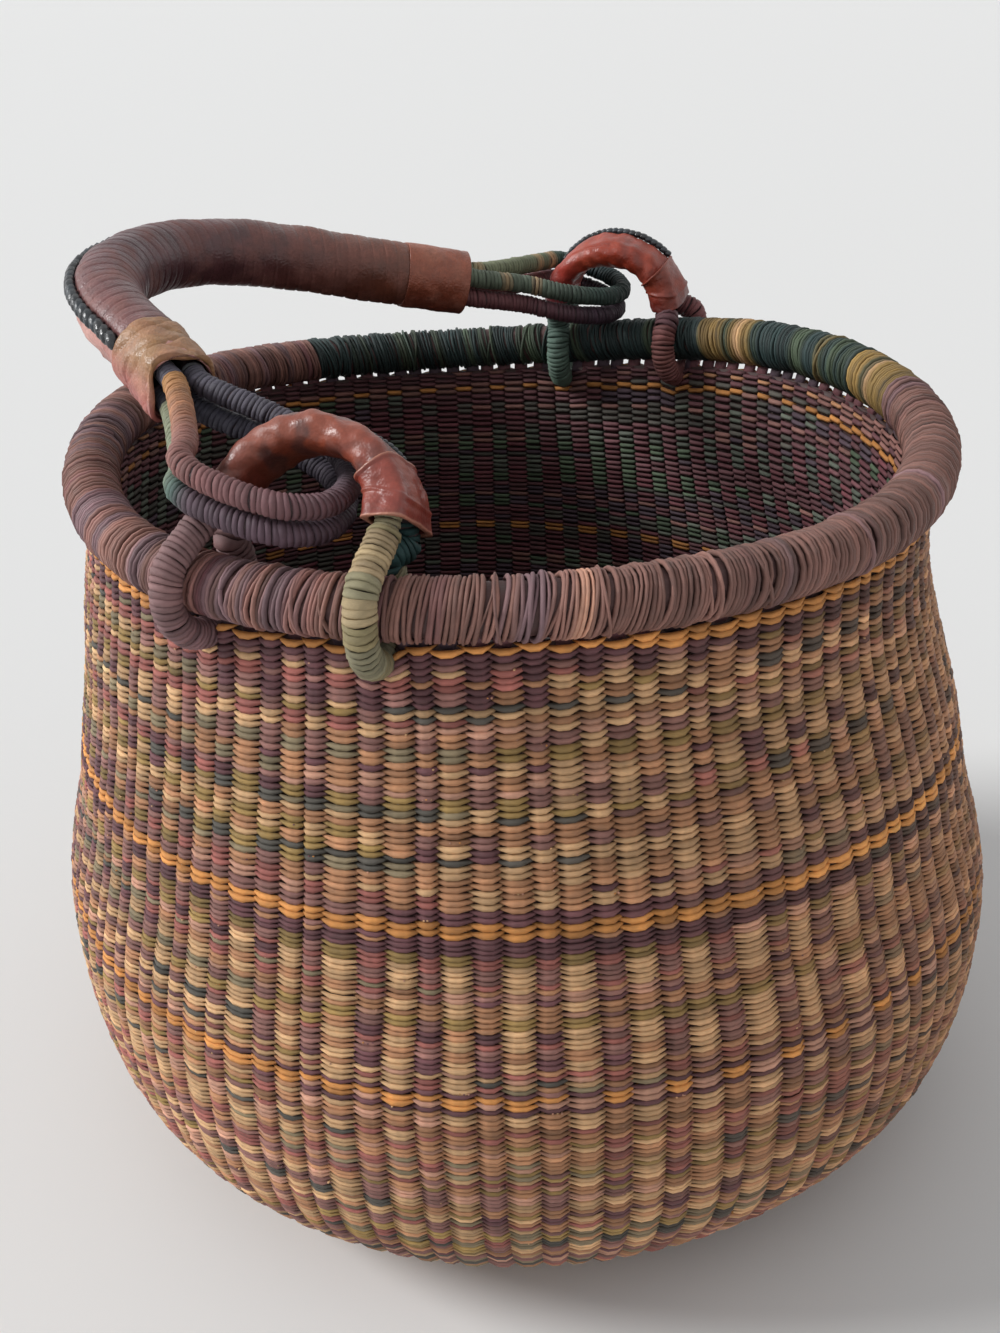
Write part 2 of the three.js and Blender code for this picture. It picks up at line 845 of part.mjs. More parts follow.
function addHandle() {
  addHandleRope("handle_rope_upper", strandOffset, straw(colours.roseRope));
  addHandleRope("handle_rope_lower", -strandOffset, straw(colours.purpleRope));
  const pink = leather(colours.pinkLeather);
  addGripTube("grip_sleeve", gripStations, gripBore, gripOutside, pink);
  addGripWrap();
  const nearShares = gripStations.slice(0, collarSteps + 1);
  const farShares = gripStations.slice(gripSteps - collarSteps);
  const tan = leather(colours.tanLeather);
  addGripTube("grip_collar_near", nearShares, gripCollarBore, gripCollarOutside, tan);
  addGripTube("grip_collar_far", farShares, gripCollarBore, gripCollarOutside, tan.clone());
  addLacing();
}

addBase();
addWall();
addRim();
addEars();
addHandle();

export default basket;
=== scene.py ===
import math

import bmesh
import bpy
import numpy as np
from mathutils import Matrix, Vector, noise


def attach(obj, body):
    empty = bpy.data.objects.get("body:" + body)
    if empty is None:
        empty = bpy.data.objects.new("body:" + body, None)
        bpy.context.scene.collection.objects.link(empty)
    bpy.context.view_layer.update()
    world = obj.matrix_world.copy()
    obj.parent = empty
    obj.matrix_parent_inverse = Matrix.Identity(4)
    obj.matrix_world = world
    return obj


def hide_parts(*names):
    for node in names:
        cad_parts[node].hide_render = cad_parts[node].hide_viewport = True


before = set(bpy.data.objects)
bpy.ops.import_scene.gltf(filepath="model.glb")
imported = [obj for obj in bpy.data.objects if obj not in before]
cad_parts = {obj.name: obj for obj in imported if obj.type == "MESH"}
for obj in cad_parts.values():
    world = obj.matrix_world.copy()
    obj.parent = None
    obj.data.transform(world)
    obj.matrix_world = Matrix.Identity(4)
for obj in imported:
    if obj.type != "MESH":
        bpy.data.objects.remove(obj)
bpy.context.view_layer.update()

print("frame loaded:", len(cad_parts), "nodes")

mm = 0.001
touch = 0.3  # gap between pieces that lie on each other, in millimetres
roundTurn = 6.28  # a full turn for folds that go round a piece


# Colours are written as they look, and turned into the shader's own scale here.
def tone(code):
    parts = np.array([int(code[i:i + 2], 16) for i in (0, 2, 4)]) / 255
    return np.where(parts < 0.04045, parts / 12.92, ((parts + 0.055) / 1.055) ** 2.4)


straws = {name: tone(code) for name, code in {
    "straw": "d5ab7e", "tan": "bb8762", "olive": "a3854f", "sage": "8f8064", "mauve": "936860",
    "rose": "a8655c", "plum": "6d464a", "teal": "56524b", "peach": "c6947c", "orange": "e39b55",
    "amber": "c98849", "lilac": "7d6266", "fern": "56654f", "grape": "54434c", "slate": "666c60",
    "wine": "6f3f45", "pine": "2f403f", "moss": "44503f", "cocoa": "8d665c",
}.items()}

# Shape numbers shared with the solids, in millimetres and degrees. Only the dips by the feet are shallower.
shape = {
    "wall": [(135, 1), (160, 5.9), (186, 19), (205.5, 36), (215.5, 51), (222, 68), (226, 90), (227.5, 112),
             (227, 133), (222, 157), (215, 181), (210, 206), (204, 230), (196, 256), (190, 280), (188, 300),
             (188, 317.6)],
    "stakes": 120, "rimRadius": 188, "rimHeight": 329.6, "rimRoll": 12,
    "radiusWaves": [(2, 0.0458, -33.1), (3, 0.0199, 17.7)],
    "heightWaves": [(1, 4.6, 34.3), (2, 4.8, 35.6), (3, 3.5, 57.3)], "waveStart": 0.6,
    "bulge": (7, 204, 278, 36), "dipDepth": 4.5, "dipReach": 5.4, "dipFade": 18,
    "feet": {"near": (-102, -79.5), "far": (100.5, 78)}, "facing": {"near": -90, "far": 90},
    "lean": {"near": 35, "far": 10}, "arch": {"near": 35, "far": 31.5},
    "archHeight": {"near": 346, "far": 350.5}, "archEnd": 80, "flareStart": 64, "flare": 2.5,
    "rope": 6.6, "pinched": 5.2, "hinge": 354, "tilt": 74, "handleRope": 5.2,
    "bundle": [(-124, 80), (-108, 102), (-95, 123), (-83, 143), (-66, 160), (-44, 171), (-16, 176), (10, 174),
               (38, 160), (64, 133), (86, 103), (106, 76), (117, 61)],
    "loops": {"near": [(7, 50), (16.5, 46), (22.3, 37.5), (24, 27), (23.2, 12), (18.5, 0), (8.5, -8), (-4, -9),
                       (-17, -5), (-28, 3), (-35.5, 14), (-39, 27), (-42, 43)],
              "far": [(5, 46.5), (16.5, 43), (22, 33), (23, 21), (19, 9), (10, 1), (-2, -2), (-14, 0), (-24, 6),
                      (-32, 14), (-38, 25), (-42, 36)]},
    "gripStart": 0.02, "gripEnd": 0.98,
}
rng = np.random.default_rng(11)


# Smooth line through points, and places along it by length.
def smoothLine(points, closed=False, steps=12):
    p = np.array(points, float)
    ends = (p[-1], p[0], p[1]) if closed else (2 * p[0] - p[1], 2 * p[-1] - p[-2])
    wide = np.vstack([ends[0], p, *ends[1:]])
    t = np.linspace(0, 1, steps, endpoint=False)[:, None]
    made = []
    for a, b, c, d in zip(wide, wide[1:], wide[2:], wide[3:]):
        gaps = [max(np.linalg.norm(v) ** 0.5, 1e-6) for v in (b - a, c - b, d - c)]
        first = ((b - a) / gaps[0] - (c - a) / (gaps[0] + gaps[1]) + (c - b) / gaps[1]) * gaps[1]
        second = ((c - b) / gaps[1] - (d - b) / (gaps[1] + gaps[2]) + (d - c) / gaps[2]) * gaps[1]
        made.append((2 * t**3 - 3 * t**2 + 1) * b + (t**3 - 2 * t**2 + t) * first
                    + (3 * t**2 - 2 * t**3) * c + (t**3 - t**2) * second)
    return np.vstack(made + ([] if closed else [p[-1:]]))


def alongLine(s, lengths, rows, count=2):
    return [np.interp(s, lengths, rows[:, k]) for k in range(count)]


def lengthsOf(line):  # lengths along a line, and where it heads
    lengths = np.concatenate([[0], np.cumsum(np.linalg.norm(np.diff(line, axis=0), axis=1))])
    way = np.gradient(line, axis=0)
    return lengths, way / np.linalg.norm(way, axis=1)[:, None]


class Path:  # a line with frames that turn as little as they can
    def __init__(self, points, closed=False, start=(0, 0, 1)):
        self.closed = closed
        self.points = np.vstack([points, points[:1]]) if closed else np.array(points)
        self.lengths, _ = lengthsOf(self.points)
        self.length = self.lengths[-1]
        ahead = np.gradient(self.points, axis=0)
        if closed:
            ahead[0] = ahead[-1] = self.points[1] - self.points[-2]
        self.ahead = ahead / np.linalg.norm(ahead, axis=1)[:, None]
        side, sides = np.array(start, float), []
        for a in self.ahead:
            side = side - a * (side @ a)
            side = side / np.linalg.norm(side)
            sides.append(side)
        self.side = np.array(sides)
        if closed:  # the leftover turn is shared out
            other = np.cross(self.ahead[0], self.side[0])
            twist = math.atan2(self.side[-1] @ other, self.side[-1] @ self.side[0])
            turn = -twist * self.lengths / self.length
            cross = np.cross(self.ahead, self.side)
            self.side = self.side * np.cos(turn)[:, None] + cross * np.sin(turn)[:, None]
        self.cross = np.cross(self.ahead, self.side)

    def at(self, s, rows):
        s = np.mod(s, self.length) if self.closed else np.clip(s, 0, self.length)
        return np.stack(alongLine(s, self.lengths, rows, 3), -1)

    def place(self, s, angle, radius):  # angle in radians round the line
        angle, radius = np.asarray(angle)[..., None], np.asarray(radius)[..., None]
        return (self.at(s, self.points) + self.at(s, self.side) * np.cos(angle) * radius
                + self.at(s, self.cross) * np.sin(angle) * radius)


# The mouth's unevenness and the wall's surface, as in the solids.
def radiusShare(azimuth):
    return 1 + sum(share * np.cos(np.radians(turns * (azimuth - way)))
                   for turns, share, way in shape["radiusWaves"])


def mouthRise(azimuth):
    return sum(rise * np.cos(np.radians(turns * (azimuth - way)))
               for turns, rise, way in shape["heightWaves"])


def turnedFrom(azimuth, way):  # degrees from a way, the short way round
    return np.mod(azimuth - way + 180, 360) - 180


def outwards(azimuth):
    a = np.radians(azimuth)
    return np.stack([np.cos(a), np.sin(a), np.zeros_like(a)], -1)


def rimPoint(azimuth):
    azimuth = np.asarray(azimuth, float)
    point = outwards(azimuth) * (shape["rimRadius"] * radiusShare(azimuth))[..., None]
    point[..., 2] = shape["rimHeight"] + mouthRise(azimuth)
    return point


wallTop = shape["rimHeight"] - shape["rimRoll"] - touch
footLoop = shape["rimRoll"] + shape["rope"] + 2 * touch
footWays = [way for pair in shape["feet"].values() for way in pair]


def footDip(azimuth, height):
    dip = 0
    for foot in footWays:
        along = np.radians(turnedFrom(azimuth, foot)) * shape["rimRadius"]
        dip = dip + shape["dipDepth"] / (1 + (along / shape["dipReach"]) ** 4)
    return dip * np.exp(-np.maximum(0, wallTop - height) / shape["dipFade"])


wallLine = smoothLine(shape["wall"], steps=24)
wallLengths, wallAhead = lengthsOf(wallLine)


def wallPoint(s, azimuth, out):  # s is the length up the wall from the floor's edge
    r, z = alongLine(s, wallLengths, wallLine)
    dr, dz = alongLine(s, wallLengths, wallAhead)
    amount, way, middle, reach = shape["bulge"]
    facing = np.maximum(0, np.cos(np.radians(azimuth - way)))
    mean = r + dz * out + amount * facing * np.exp(-(((z - middle) / reach) ** 2))
    height = z - dr * out
    wave = np.maximum(0, (height / shape["rimHeight"] - shape["waveStart"]) / (1 - shape["waveStart"]))
    point = outwards(azimuth) * (mean * radiusShare(azimuth))[..., None]
    point[..., 2] = height + wave * mouthRise(azimuth) - footDip(azimuth, z)
    return point


def lengthAt(height):
    return np.interp(height, wallLine[:, 1], wallLengths)


# Meshes.
def finished(name, mesh, body, nodes, material):
    piece = bpy.data.objects.new(name, mesh)
    bpy.context.scene.collection.objects.link(piece)
    mesh.materials.append(material)
    mesh.polygons.foreach_set("use_smooth", np.ones(len(mesh.polygons), bool))
    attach(piece, body)
    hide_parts(*nodes)
    return piece


class Stamp:  # a small shape that is laid down many times
    def __init__(self, bm):
        bmesh.ops.recalc_face_normals(bm, faces=bm.faces)
        bm.verts.index_update()
        self.points = np.array([v.co for v in bm.verts])
        self.corners = np.concatenate([[v.index for v in f.verts] for f in bm.faces])
        self.sizes = np.array([len(f.verts) for f in bm.faces])
        bm.free()


def ownColours(mesh, colours):  # linear colours, one for each point of the mesh
    values = np.ones((len(mesh.vertices), 4), np.float32)
    values[:, :3] = colours
    mesh.attributes.new("ownColour", "FLOAT_COLOR", "POINT").data.foreach_set("color", values.ravel())


def paint(piece, hue):  # hue gives a colour for each place in millimetres
    points = np.empty(len(piece.data.vertices) * 3)
    piece.data.vertices.foreach_get("co", points)
    ownColours(piece.data, hue(points.reshape(-1, 3) / mm))


def layDown(name, stamp, places, colours, grain):
    # places is many x points x 3 in millimetres, grain many x points x 2
    many, count = places.shape[:2]
    mesh = bpy.data.meshes.new(name)
    mesh.vertices.add(many * count)
    mesh.vertices.foreach_set("co", (places * mm).astype(np.float32).ravel())
    corners = (stamp.corners[None] + np.arange(many)[:, None] * count).ravel()
    mesh.loops.add(len(corners))
    mesh.loops.foreach_set("vertex_index", corners.astype(np.int32))
    sizes = np.tile(stamp.sizes, many)
    starts = np.concatenate([[0], np.cumsum(sizes)[:-1]])
    mesh.polygons.add(len(sizes))
    mesh.polygons.foreach_set("loop_start", starts.astype(np.int32))
    uv = mesh.uv_layers.new(name="grain")
    uv.uv.foreach_set("vector", grain.reshape(-1, 2)[corners].astype(np.float32).ravel())
    colours = colours if colours.ndim == 3 else colours[:, None]
    ownColours(mesh, np.broadcast_to(colours, (many, count, 3)).reshape(-1, 3))
    mesh.update(calc_edges=True)
    mesh.validate()
    return mesh


def podStamp(stations, sides):  # a closed rod from -1 to 1 along X with a unit round section
    bm = bmesh.new()
    face = bmesh.ops.create_circle(bm, cap_ends=True, segments=sides, radius=1)
    bmesh.ops.rotate(bm, verts=bm.verts, cent=(0, 0, 0), matrix=Matrix.Rotation(math.pi / 2, 3, "Y"))
    bmesh.ops.translate(bm, verts=bm.verts, vec=(stations[0], 0, 0))
    last = bm.faces[:]
    for before, after in zip(stations, stations[1:]):
        made = bmesh.ops.extrude_face_region(bm, geom=last)["geom"]
        last = [f for f in made if isinstance(f, bmesh.types.BMFace)]
        bmesh.ops.translate(bm, verts=[v for v in made if isinstance(v, bmesh.types.BMVert)],
                            vec=(after - before, 0, 0))
    inner = [f for f in bm.faces if len(f.verts) == sides and abs(f.normal.x) > 0.9
             and stations[0] + 1e-4 < f.calc_center_median().x < stations[-1] - 1e-4]
    bmesh.ops.delete(bm, geom=inner, context="FACES_ONLY")
    return Stamp(bm)


stampRadius = 10


def turnStamp(steps, sides):  # a full turn round Z, with a unit round section
    bm = bmesh.new()
    bmesh.ops.create_circle(bm, segments=sides, radius=1)
    bmesh.ops.rotate(bm, verts=bm.verts, cent=(0, 0, 0), matrix=Matrix.Rotation(math.pi / 2, 3, "X"))
    bmesh.ops.translate(bm, verts=bm.verts, vec=(stampRadius, 0, 0))
    bmesh.ops.spin(bm, geom=bm.verts[:] + bm.edges[:], cent=(0, 0, 0), axis=(0, 0, 1),
                   angle=2 * math.pi, steps=steps, use_merge=True)
    return Stamp(bm)


def skin(places, closeAlong=False):
    # a sheet laid through rows of places; rows run along, columns run all the way round
    rows, columns = places.shape[:2]
    steps = rows - 1 + closeAlong
    bm = bmesh.new()
    bmesh.ops.create_grid(bm, x_segments=steps, y_segments=columns, size=0.5)
    uvLayer = bm.loops.layers.uv.new("grain")
    for f in bm.faces:
        for corner in f.loops:
            corner[uvLayer].uv = (corner.vert.co.x + 0.5, corner.vert.co.y + 0.5)
    for v in bm.verts:
        i = round((v.co.x + 0.5) * steps) % rows
        j = round((v.co.y + 0.5) * columns) % columns
        v.co = Vector(places[i, j] * mm)
    bmesh.ops.remove_doubles(bm, verts=bm.verts, dist=1e-7)
    return bm


def meshFrom(bm, name):
    bmesh.ops.recalc_face_normals(bm, faces=bm.faces)
    mesh = bpy.data.meshes.new(name)
    bm.to_mesh(mesh)
    bm.free()
    return mesh


# Node groups for effects that several materials share.
def newGroup(name, inputs):  # each gives out a colour, a height and a gloss
    group = bpy.data.node_groups.new(name, "ShaderNodeTree")
    for label, kind, value in inputs:
        socket = group.interface.new_socket(label, in_out="INPUT", socket_type="NodeSocket" + kind)
        socket.default_value = value
    for label, kind in (("Colour", "Color"), ("Height", "Float"), ("Gloss", "Float")):
        group.interface.new_socket(label, in_out="OUTPUT", socket_type="NodeSocket" + kind)
    return group, group.nodes.new("NodeGroupInput"), group.nodes.new("NodeGroupOutput")


def joined(tree, start, end):
    tree.links.new(start, end)


def mathNode(tree, operation, first, second):
    node = tree.nodes.new("ShaderNodeMath")
    node.operation = operation
    for socket, value in zip(node.inputs, (first, second)):
        if isinstance(value, (int, float)):
            socket.default_value = value
        else:
            joined(tree, value, socket)
    return node.outputs[0]


def noiseNode(tree, vector, scale, detail):
    node = tree.nodes.new("ShaderNodeTexNoise")
    node.inputs["Scale"].default_value = scale
    node.inputs["Detail"].default_value = detail
    joined(tree, vector, node.inputs["Vector"])
    return node.outputs["Fac"]


def stretched(tree, vector, amounts):
    node = tree.nodes.new("ShaderNodeVectorMath")
    node.operation = "MULTIPLY"
    node.inputs[1].default_value = amounts
    joined(tree, vector, node.inputs[0])
    return node.outputs[0]


def spread(tree, value, low, high, toLow, toHigh):
    node = tree.nodes.new("ShaderNodeMapRange")
    for label, number in zip(("From Min", "From Max", "To Min", "To Max"), (low, high, toLow, toHigh)):
        node.inputs[label].default_value = number
    joined(tree, value, node.inputs["Value"])
    return node.outputs[0]


def centred(tree, value):  # a noise that goes as far below nought as above
    return mathNode(tree, "SUBTRACT", value, 0.5)


def tinted(tree, colour, change, amount):  # colour made lighter and darker by a change round nought
    shade = mathNode(tree, "ADD", mathNode(tree, "MULTIPLY", change, amount), 1)
    node = tree.nodes.new("ShaderNodeVectorMath")
    node.operation = "SCALE"
    joined(tree, colour, node.inputs[0])
    joined(tree, shade, node.inputs["Scale"])
    return node.outputs[0]


# Scales of the noises: across and along a straw by its own grain, and by place in the object.
fibre = {"streaks": (2.2, 26, 1), "fine": (5, 70, 1), "patches": 210, "gloss": (0.3, 0.7, 0.5, 0.72),
         "apart": 60, "wide": 0.5}
hideGrain = {"pebbles": 900, "blotches": 75, "fine": 420, "worn": (0.45, 0.68, 0, 1), "shade": 0.7,
             "gloss": (0.35, 0.65, 0.34, 0.6)}


def makeFibreGroup():
    group, start, end = newGroup("strawFibre", [
        ("Colour", "Color", (0.5, 0.5, 0.5, 1)), ("Depth", "Float", 0.35)])
    uv = group.nodes.new("ShaderNodeUVMap")
    uv.uv_map = "grain"
    place = group.nodes.new("ShaderNodeTexCoord")
    streaks = noiseNode(group, stretched(group, uv.outputs[0], fibre["streaks"]), 1, 4)
    patches = noiseNode(group, place.outputs["Object"], fibre["patches"], 2)
    fine = noiseNode(group, stretched(group, uv.outputs[0], fibre["fine"]), 1, 2)
    light = mathNode(group, "ADD", centred(group, streaks), centred(group, patches))
    colour = tinted(group, start.outputs["Colour"], light, start.outputs["Depth"])
    joined(group, colour, end.inputs["Colour"])
    joined(group, mathNode(group, "ADD", streaks, fine), end.inputs["Height"])
    joined(group, spread(group, patches, *fibre["gloss"]), end.inputs["Gloss"])
    return group


def makeLeatherGroup():
    group, start, end = newGroup("leatherGrain", [
        ("Colour", "Color", (0.3, 0.1, 0.1, 1)), ("Worn", "Color", (0.5, 0.3, 0.25, 1)),
        ("Wear", "Float", 0.4)])
    place = group.nodes.new("ShaderNodeTexCoord")
    pebbles = group.nodes.new("ShaderNodeTexVoronoi")
    pebbles.inputs["Scale"].default_value = hideGrain["pebbles"]
    joined(group, place.outputs["Object"], pebbles.inputs["Vector"])
    blotches = noiseNode(group, place.outputs["Object"], hideGrain["blotches"], 4)
    fine = noiseNode(group, place.outputs["Object"], hideGrain["fine"], 3)
    mix = group.nodes.new("ShaderNodeMix")
    mix.data_type = "RGBA"
    worn = spread(group, blotches, *hideGrain["worn"])
    joined(group, mathNode(group, "MULTIPLY", worn, start.outputs["Wear"]), mix.inputs["Factor"])
    joined(group, start.outputs["Colour"], mix.inputs["A"])
    joined(group, start.outputs["Worn"], mix.inputs["B"])
    colour = tinted(group, mix.outputs["Result"], centred(group, fine), hideGrain["shade"])
    joined(group, colour, end.inputs["Colour"])
    joined(group, mathNode(group, "ADD", pebbles.outputs["Distance"], fine), end.inputs["Height"])
    joined(group, spread(group, blotches, *hideGrain["gloss"]), end.inputs["Gloss"])
    return group


fibreGroup = makeFibreGroup()
leatherGroup = makeLeatherGroup()


def newMaterial(name):
    material = bpy.data.materials.new(name)
    material.use_nodes = True
    tree = material.node_tree
    return material, tree, tree.nodes["Principled BSDF"]


def coated(name, effect, values, strength, distance, dull=None):
    # a material that takes its piece's own colours through one of the groups
    material, tree, shader = newMaterial(name)
    colour = tree.nodes.new("ShaderNodeAttribute")
    colour.attribute_name = "ownColour"
    group = tree.nodes.new("ShaderNodeGroup")
    group.node_tree = effect
    for label, value in values.items():
        group.inputs[label].default_value = value
    gloss = group.outputs["Gloss"]
    joined(tree, colour.outputs["Color"], group.inputs["Colour"])
    joined(tree, group.outputs["Colour"], shader.inputs["Base Color"])
    joined(tree, mathNode(tree, "MULTIPLY", gloss, dull) if dull else gloss, shader.inputs["Roughness"])
    bump = tree.nodes.new("ShaderNodeBump")
    bump.inputs["Strength"].default_value = strength
    bump.inputs["Distance"].default_value = distance
    joined(tree, group.outputs["Height"], bump.inputs["Height"])
    joined(tree, bump.outputs[0], shader.inputs["Normal"])
    return material, shader


def strawMaterial(name, depth):
    material, shader = coated(name, fibreGroup, {"Depth": depth}, 0.5, 0.0003)
    shader.inputs["Specular IOR Level"].default_value = 0.4
    return material


def leatherMaterial(name, worn, wear, strength, dull=1):
    values = {"Worn": (*tone(worn), 1), "Wear": wear}
    return coated(name, leatherGroup, values, strength, 0.0004, dull)[0]


weftMaterial = strawMaterial("weftStraw", 0.75)
woundMaterial = strawMaterial("woundStraw", 0.6)
coreMaterial = strawMaterial("hiddenStraw", 0.8)


# Wall: every stitch of the weave is laid over its stake, row by row.
# The weft's last two numbers set the painted shade in the grooves between stitches: its darkest brightness, and
# how fast it lightens towards a stitch's crest.
weft = {"row": 2.75, "crest": 1.9, "dip": -2.3, "halfMiddle": 1.72, "halfTip": 0.12, "taper": 1.25,
        "sag": 0.95, "slant": 0.3, "thick": 0.6, "lap": 1.56, "inner": -5.1, "insideRow": 3.5, "wide": 0.1,
        "arch": 0.85, "roll": 0.25, "stagger": 0.22, "grooveShade": 0.36, "shadeCurve": 0.6}
loose = {"half": 0.06, "rise": 0.13, "tilt": 0.16, "crest": 0.16}  # how unevenly the stitches lie
strand = {"run": (2, 9), "rounds": (1, 3), "dye": 0.13}  # how long one colour of straw lasts
outerPod = podStamp([-1, -0.64, -0.22, 0.22, 0.64, 1], 4)
innerPod = podStamp([-1, -0.5, 0.5, 1], 4)
warm = {"mauve": 26, "rose": 20, "tan": 18, "plum": 10, "straw": 9, "peach": 9, "olive": 4, "teal": 3,
        "sage": 1}
cool = {"straw": 34, "tan": 18, "olive": 14, "peach": 11, "rose": 7, "sage": 7, "mauve": 6, "teal": 3}
# Inside palettes: darker straws, partly their own colours and partly painted shade of the inside.
dimWarm = {"wine": 40, "plum": 24, "grape": 14, "mauve": 14, "teal": 8}
dimCool = {"slate": 34, "grape": 18, "fern": 18, "teal": 16, "plum": 14}
orange = {"orange": 90, "amber": 10}
dull = {"amber": 50, "orange": 35, "peach": 15}
# Orange rows inside, in darker amber and cocoa: painted shade of the inside.
shadedOrange = {"amber": 70, "cocoa": 30}
plum = {"plum": 62, "mauve": 30, "tan": 5, "teal": 3}

wallEnd = 316.4  # the top row, with the stakes' ends above it
stakeTurn = 360 / shape["stakes"]
stakeLean = {"uneven": 0.22, "drifts": [(0.22, 37), (0.14, 15)]}  # degrees, and millimetres up the wall
stakes = np.arange(shape["stakes"]) * stakeTurn + rng.normal(0, stakeLean["uneven"], shape["stakes"])
wander = rng.uniform(0, 2 * np.pi, (2, shape["stakes"]))


def columnAt(index, s):  # a stake's azimuth at a length up the wall
    k = np.mod(index, shape["stakes"])
    drift = sum(amount * np.sin(s / reach + phase[k])
                for (amount, reach), phase in zip(stakeLean["drifts"], wander))
    return stakes[k] + 360 * (index // shape["stakes"]) + drift


def runs(count, palette, low, high):  # one dyed strand after another
    names = list(palette)
    odds = np.array([palette[n] for n in names], float)
    picked = []
    while len(picked) < count:
        hue = straws[names[rng.choice(len(names), p=odds / odds.sum())]] * rng.normal(1, strand["dye"])
        picked += [hue] * int(rng.integers(low, high))
    return np.array(picked[:count])


def weftColours(rows, even, odd):
    colours = np.zeros((rows, shape["stakes"], 3))
    half = shape["stakes"] // 2
    for parity, palette in ((0, even), (1, odd)):
        palettes = palette if isinstance(palette, list) else [palette] * rows
        start = 0
        while start < rows:
            end = start
            while end < rows and palettes[end] is palettes[start]:
                end += 1
            lines = []
            while len(lines) < end - start:  # a strand goes round more than once
                line = runs(half, palettes[start], *strand["run"])
                lines += [line] * int(rng.integers(*strand["rounds"]))
            colours[start:end, parity::2] = lines[:end - start]
            start = end
    return colours * rng.normal(1, strand["dye"], (rows, shape["stakes"], 1))


plainShadedSide = {"way": 2, "reach": 42, "share": 0.75, "dark": 0.82}  # browner, plainer and darker straw on the right: partly its own colour, partly painted shade away from the light


def brownedAndShaded(colours):
    away = np.abs(turnedFrom(np.arange(shape["stakes"]) * stakeTurn, plainShadedSide["way"]))
    share = (plainShadedSide["share"] * np.exp(-((away / plainShadedSide["reach"]) ** 2)))[None, :, None]
    # The brown is also made darker: painted shade on the side away from the light.
    brown = straws["tan"] / straws["tan"].mean() * plainShadedSide["dark"]
    return colours * (1 - share) + colours.mean(-1, keepdims=True) * brown * share


def humped(t):  # a stitch's rise over its stake, from tip to tip
    return np.maximum(0, np.cos(t * np.pi / 2))


def stitches(stamp, s, column, row, facing):
    # facing is 1 on the outside and -1 inside, where the stitches sit over the gaps
    t, y, z = stamp.points.T
    full = humped(t)
    index = column + (0 if facing > 0 else 0.5)
    low, high = np.floor(index).astype(int), np.ceil(index).astype(int)
    middle = (columnAt(low, s) + columnAt(high, s)) / 2
    left, right = middle - columnAt(low - 1, s), columnAt(high + 1, s) - middle
    if facing < 0:
        left, right = left - stakeTurn / 2, right - stakeTurn / 2
    share = np.where(column % 2 == 0, 0.5 + weft["wide"] * 0.5, 0.5 - weft["wide"] * 0.5)[:, None]
    reach = np.where(t < 0, t * left[:, None], t * right[:, None])
    azimuth = middle[:, None] + reach * share * weft["lap"]
    many = len(s)
    scale = row / weft["row"]
    belly = 1 - np.abs(t)**weft["taper"]
    half = (weft["halfTip"] + (weft["halfMiddle"] - weft["halfTip"]) * belly) * scale
    half = half * rng.normal(1, loose["half"], (many, 1))
    rise = half * y - weft["sag"] * full + (weft["slant"] * t)
    rise = rise + rng.normal(0, loose["rise"], (many, 1)) * scale
    rise = rise + t * rng.normal(0, loose["tilt"], (many, 1))
    crest = weft["crest"] + rng.normal(0, loose["crest"], (many, 1))
    out = weft["dip"] + (crest - weft["dip"]) * full**weft["arch"] + weft["thick"] * z
    out = out - weft["roll"] * y * full
    out = out if facing > 0 else weft["inner"] - out
    return wallPoint(s[:, None] + rise, azimuth, out), full


def shaded(colours, full):  # painted shade: darker where a stitch goes down between its neighbours
    light = weft["grooveShade"] + (1 - weft["grooveShade"]) * full**weft["shadeCurve"]
    return np.clip(colours[:, None] * light[None, :, None], 0, 1)


def grainOf(stamp, many):
    u = np.broadcast_to(stamp.points[None, :, 0], (many, len(stamp.points)))
    v = np.broadcast_to(stamp.points[None, :, 1], u.shape)
    start = rng.uniform(0, fibre["apart"], (many, 2))
    return np.stack([u + start[:, :1], v * fibre["wide"] + start[:, 1:]], -1)


plumNear = {"band_top_weft": slice(84, 103)}  # here only one orange row shows under the rim


def layCourse(name, node, slot, low, high, pitch, even, odd, facing=1):
    start, end = lengthAt(low), lengthAt(high)
    rows = max(1, round((end - start) / pitch))
    row = (end - start) / rows
    stamp = outerPod if facing > 0 else innerPod
    pick = [p(rows) if callable(p) else p for p in (even, odd)]
    colours = weftColours(rows, *pick)
    if facing > 0 and slot == "straw_natural":
        colours = brownedAndShaded(colours)
    if name in plumNear:
        colours[0, plumNear[name]] = straws["plum"]
    i, k = np.divmod(np.arange(rows * shape["stakes"]), shape["stakes"])
    s = start + (i + 0.5 + np.where(k % 2, weft["stagger"], -weft["stagger"])) * row
    places, full = stitches(stamp, s, k, row, facing)
    mesh = layDown(name, stamp, places, shaded(colours.reshape(-1, 3), full), grainOf(stamp, len(s)))
    finished(name, mesh, "basket", [node], weftMaterial)


def edged(palette, below, above):  # plum rows next to the orange bands
    def pick(rows):
        return [plum] * below + [palette] * (rows - below - above) + [plum] * above
    return pick


def lined(palette):  # inside, one orange line runs round below the mouth
    def pick(rows):
        return [palette] * (rows - 2) + [shadedOrange, plum]
    return pick


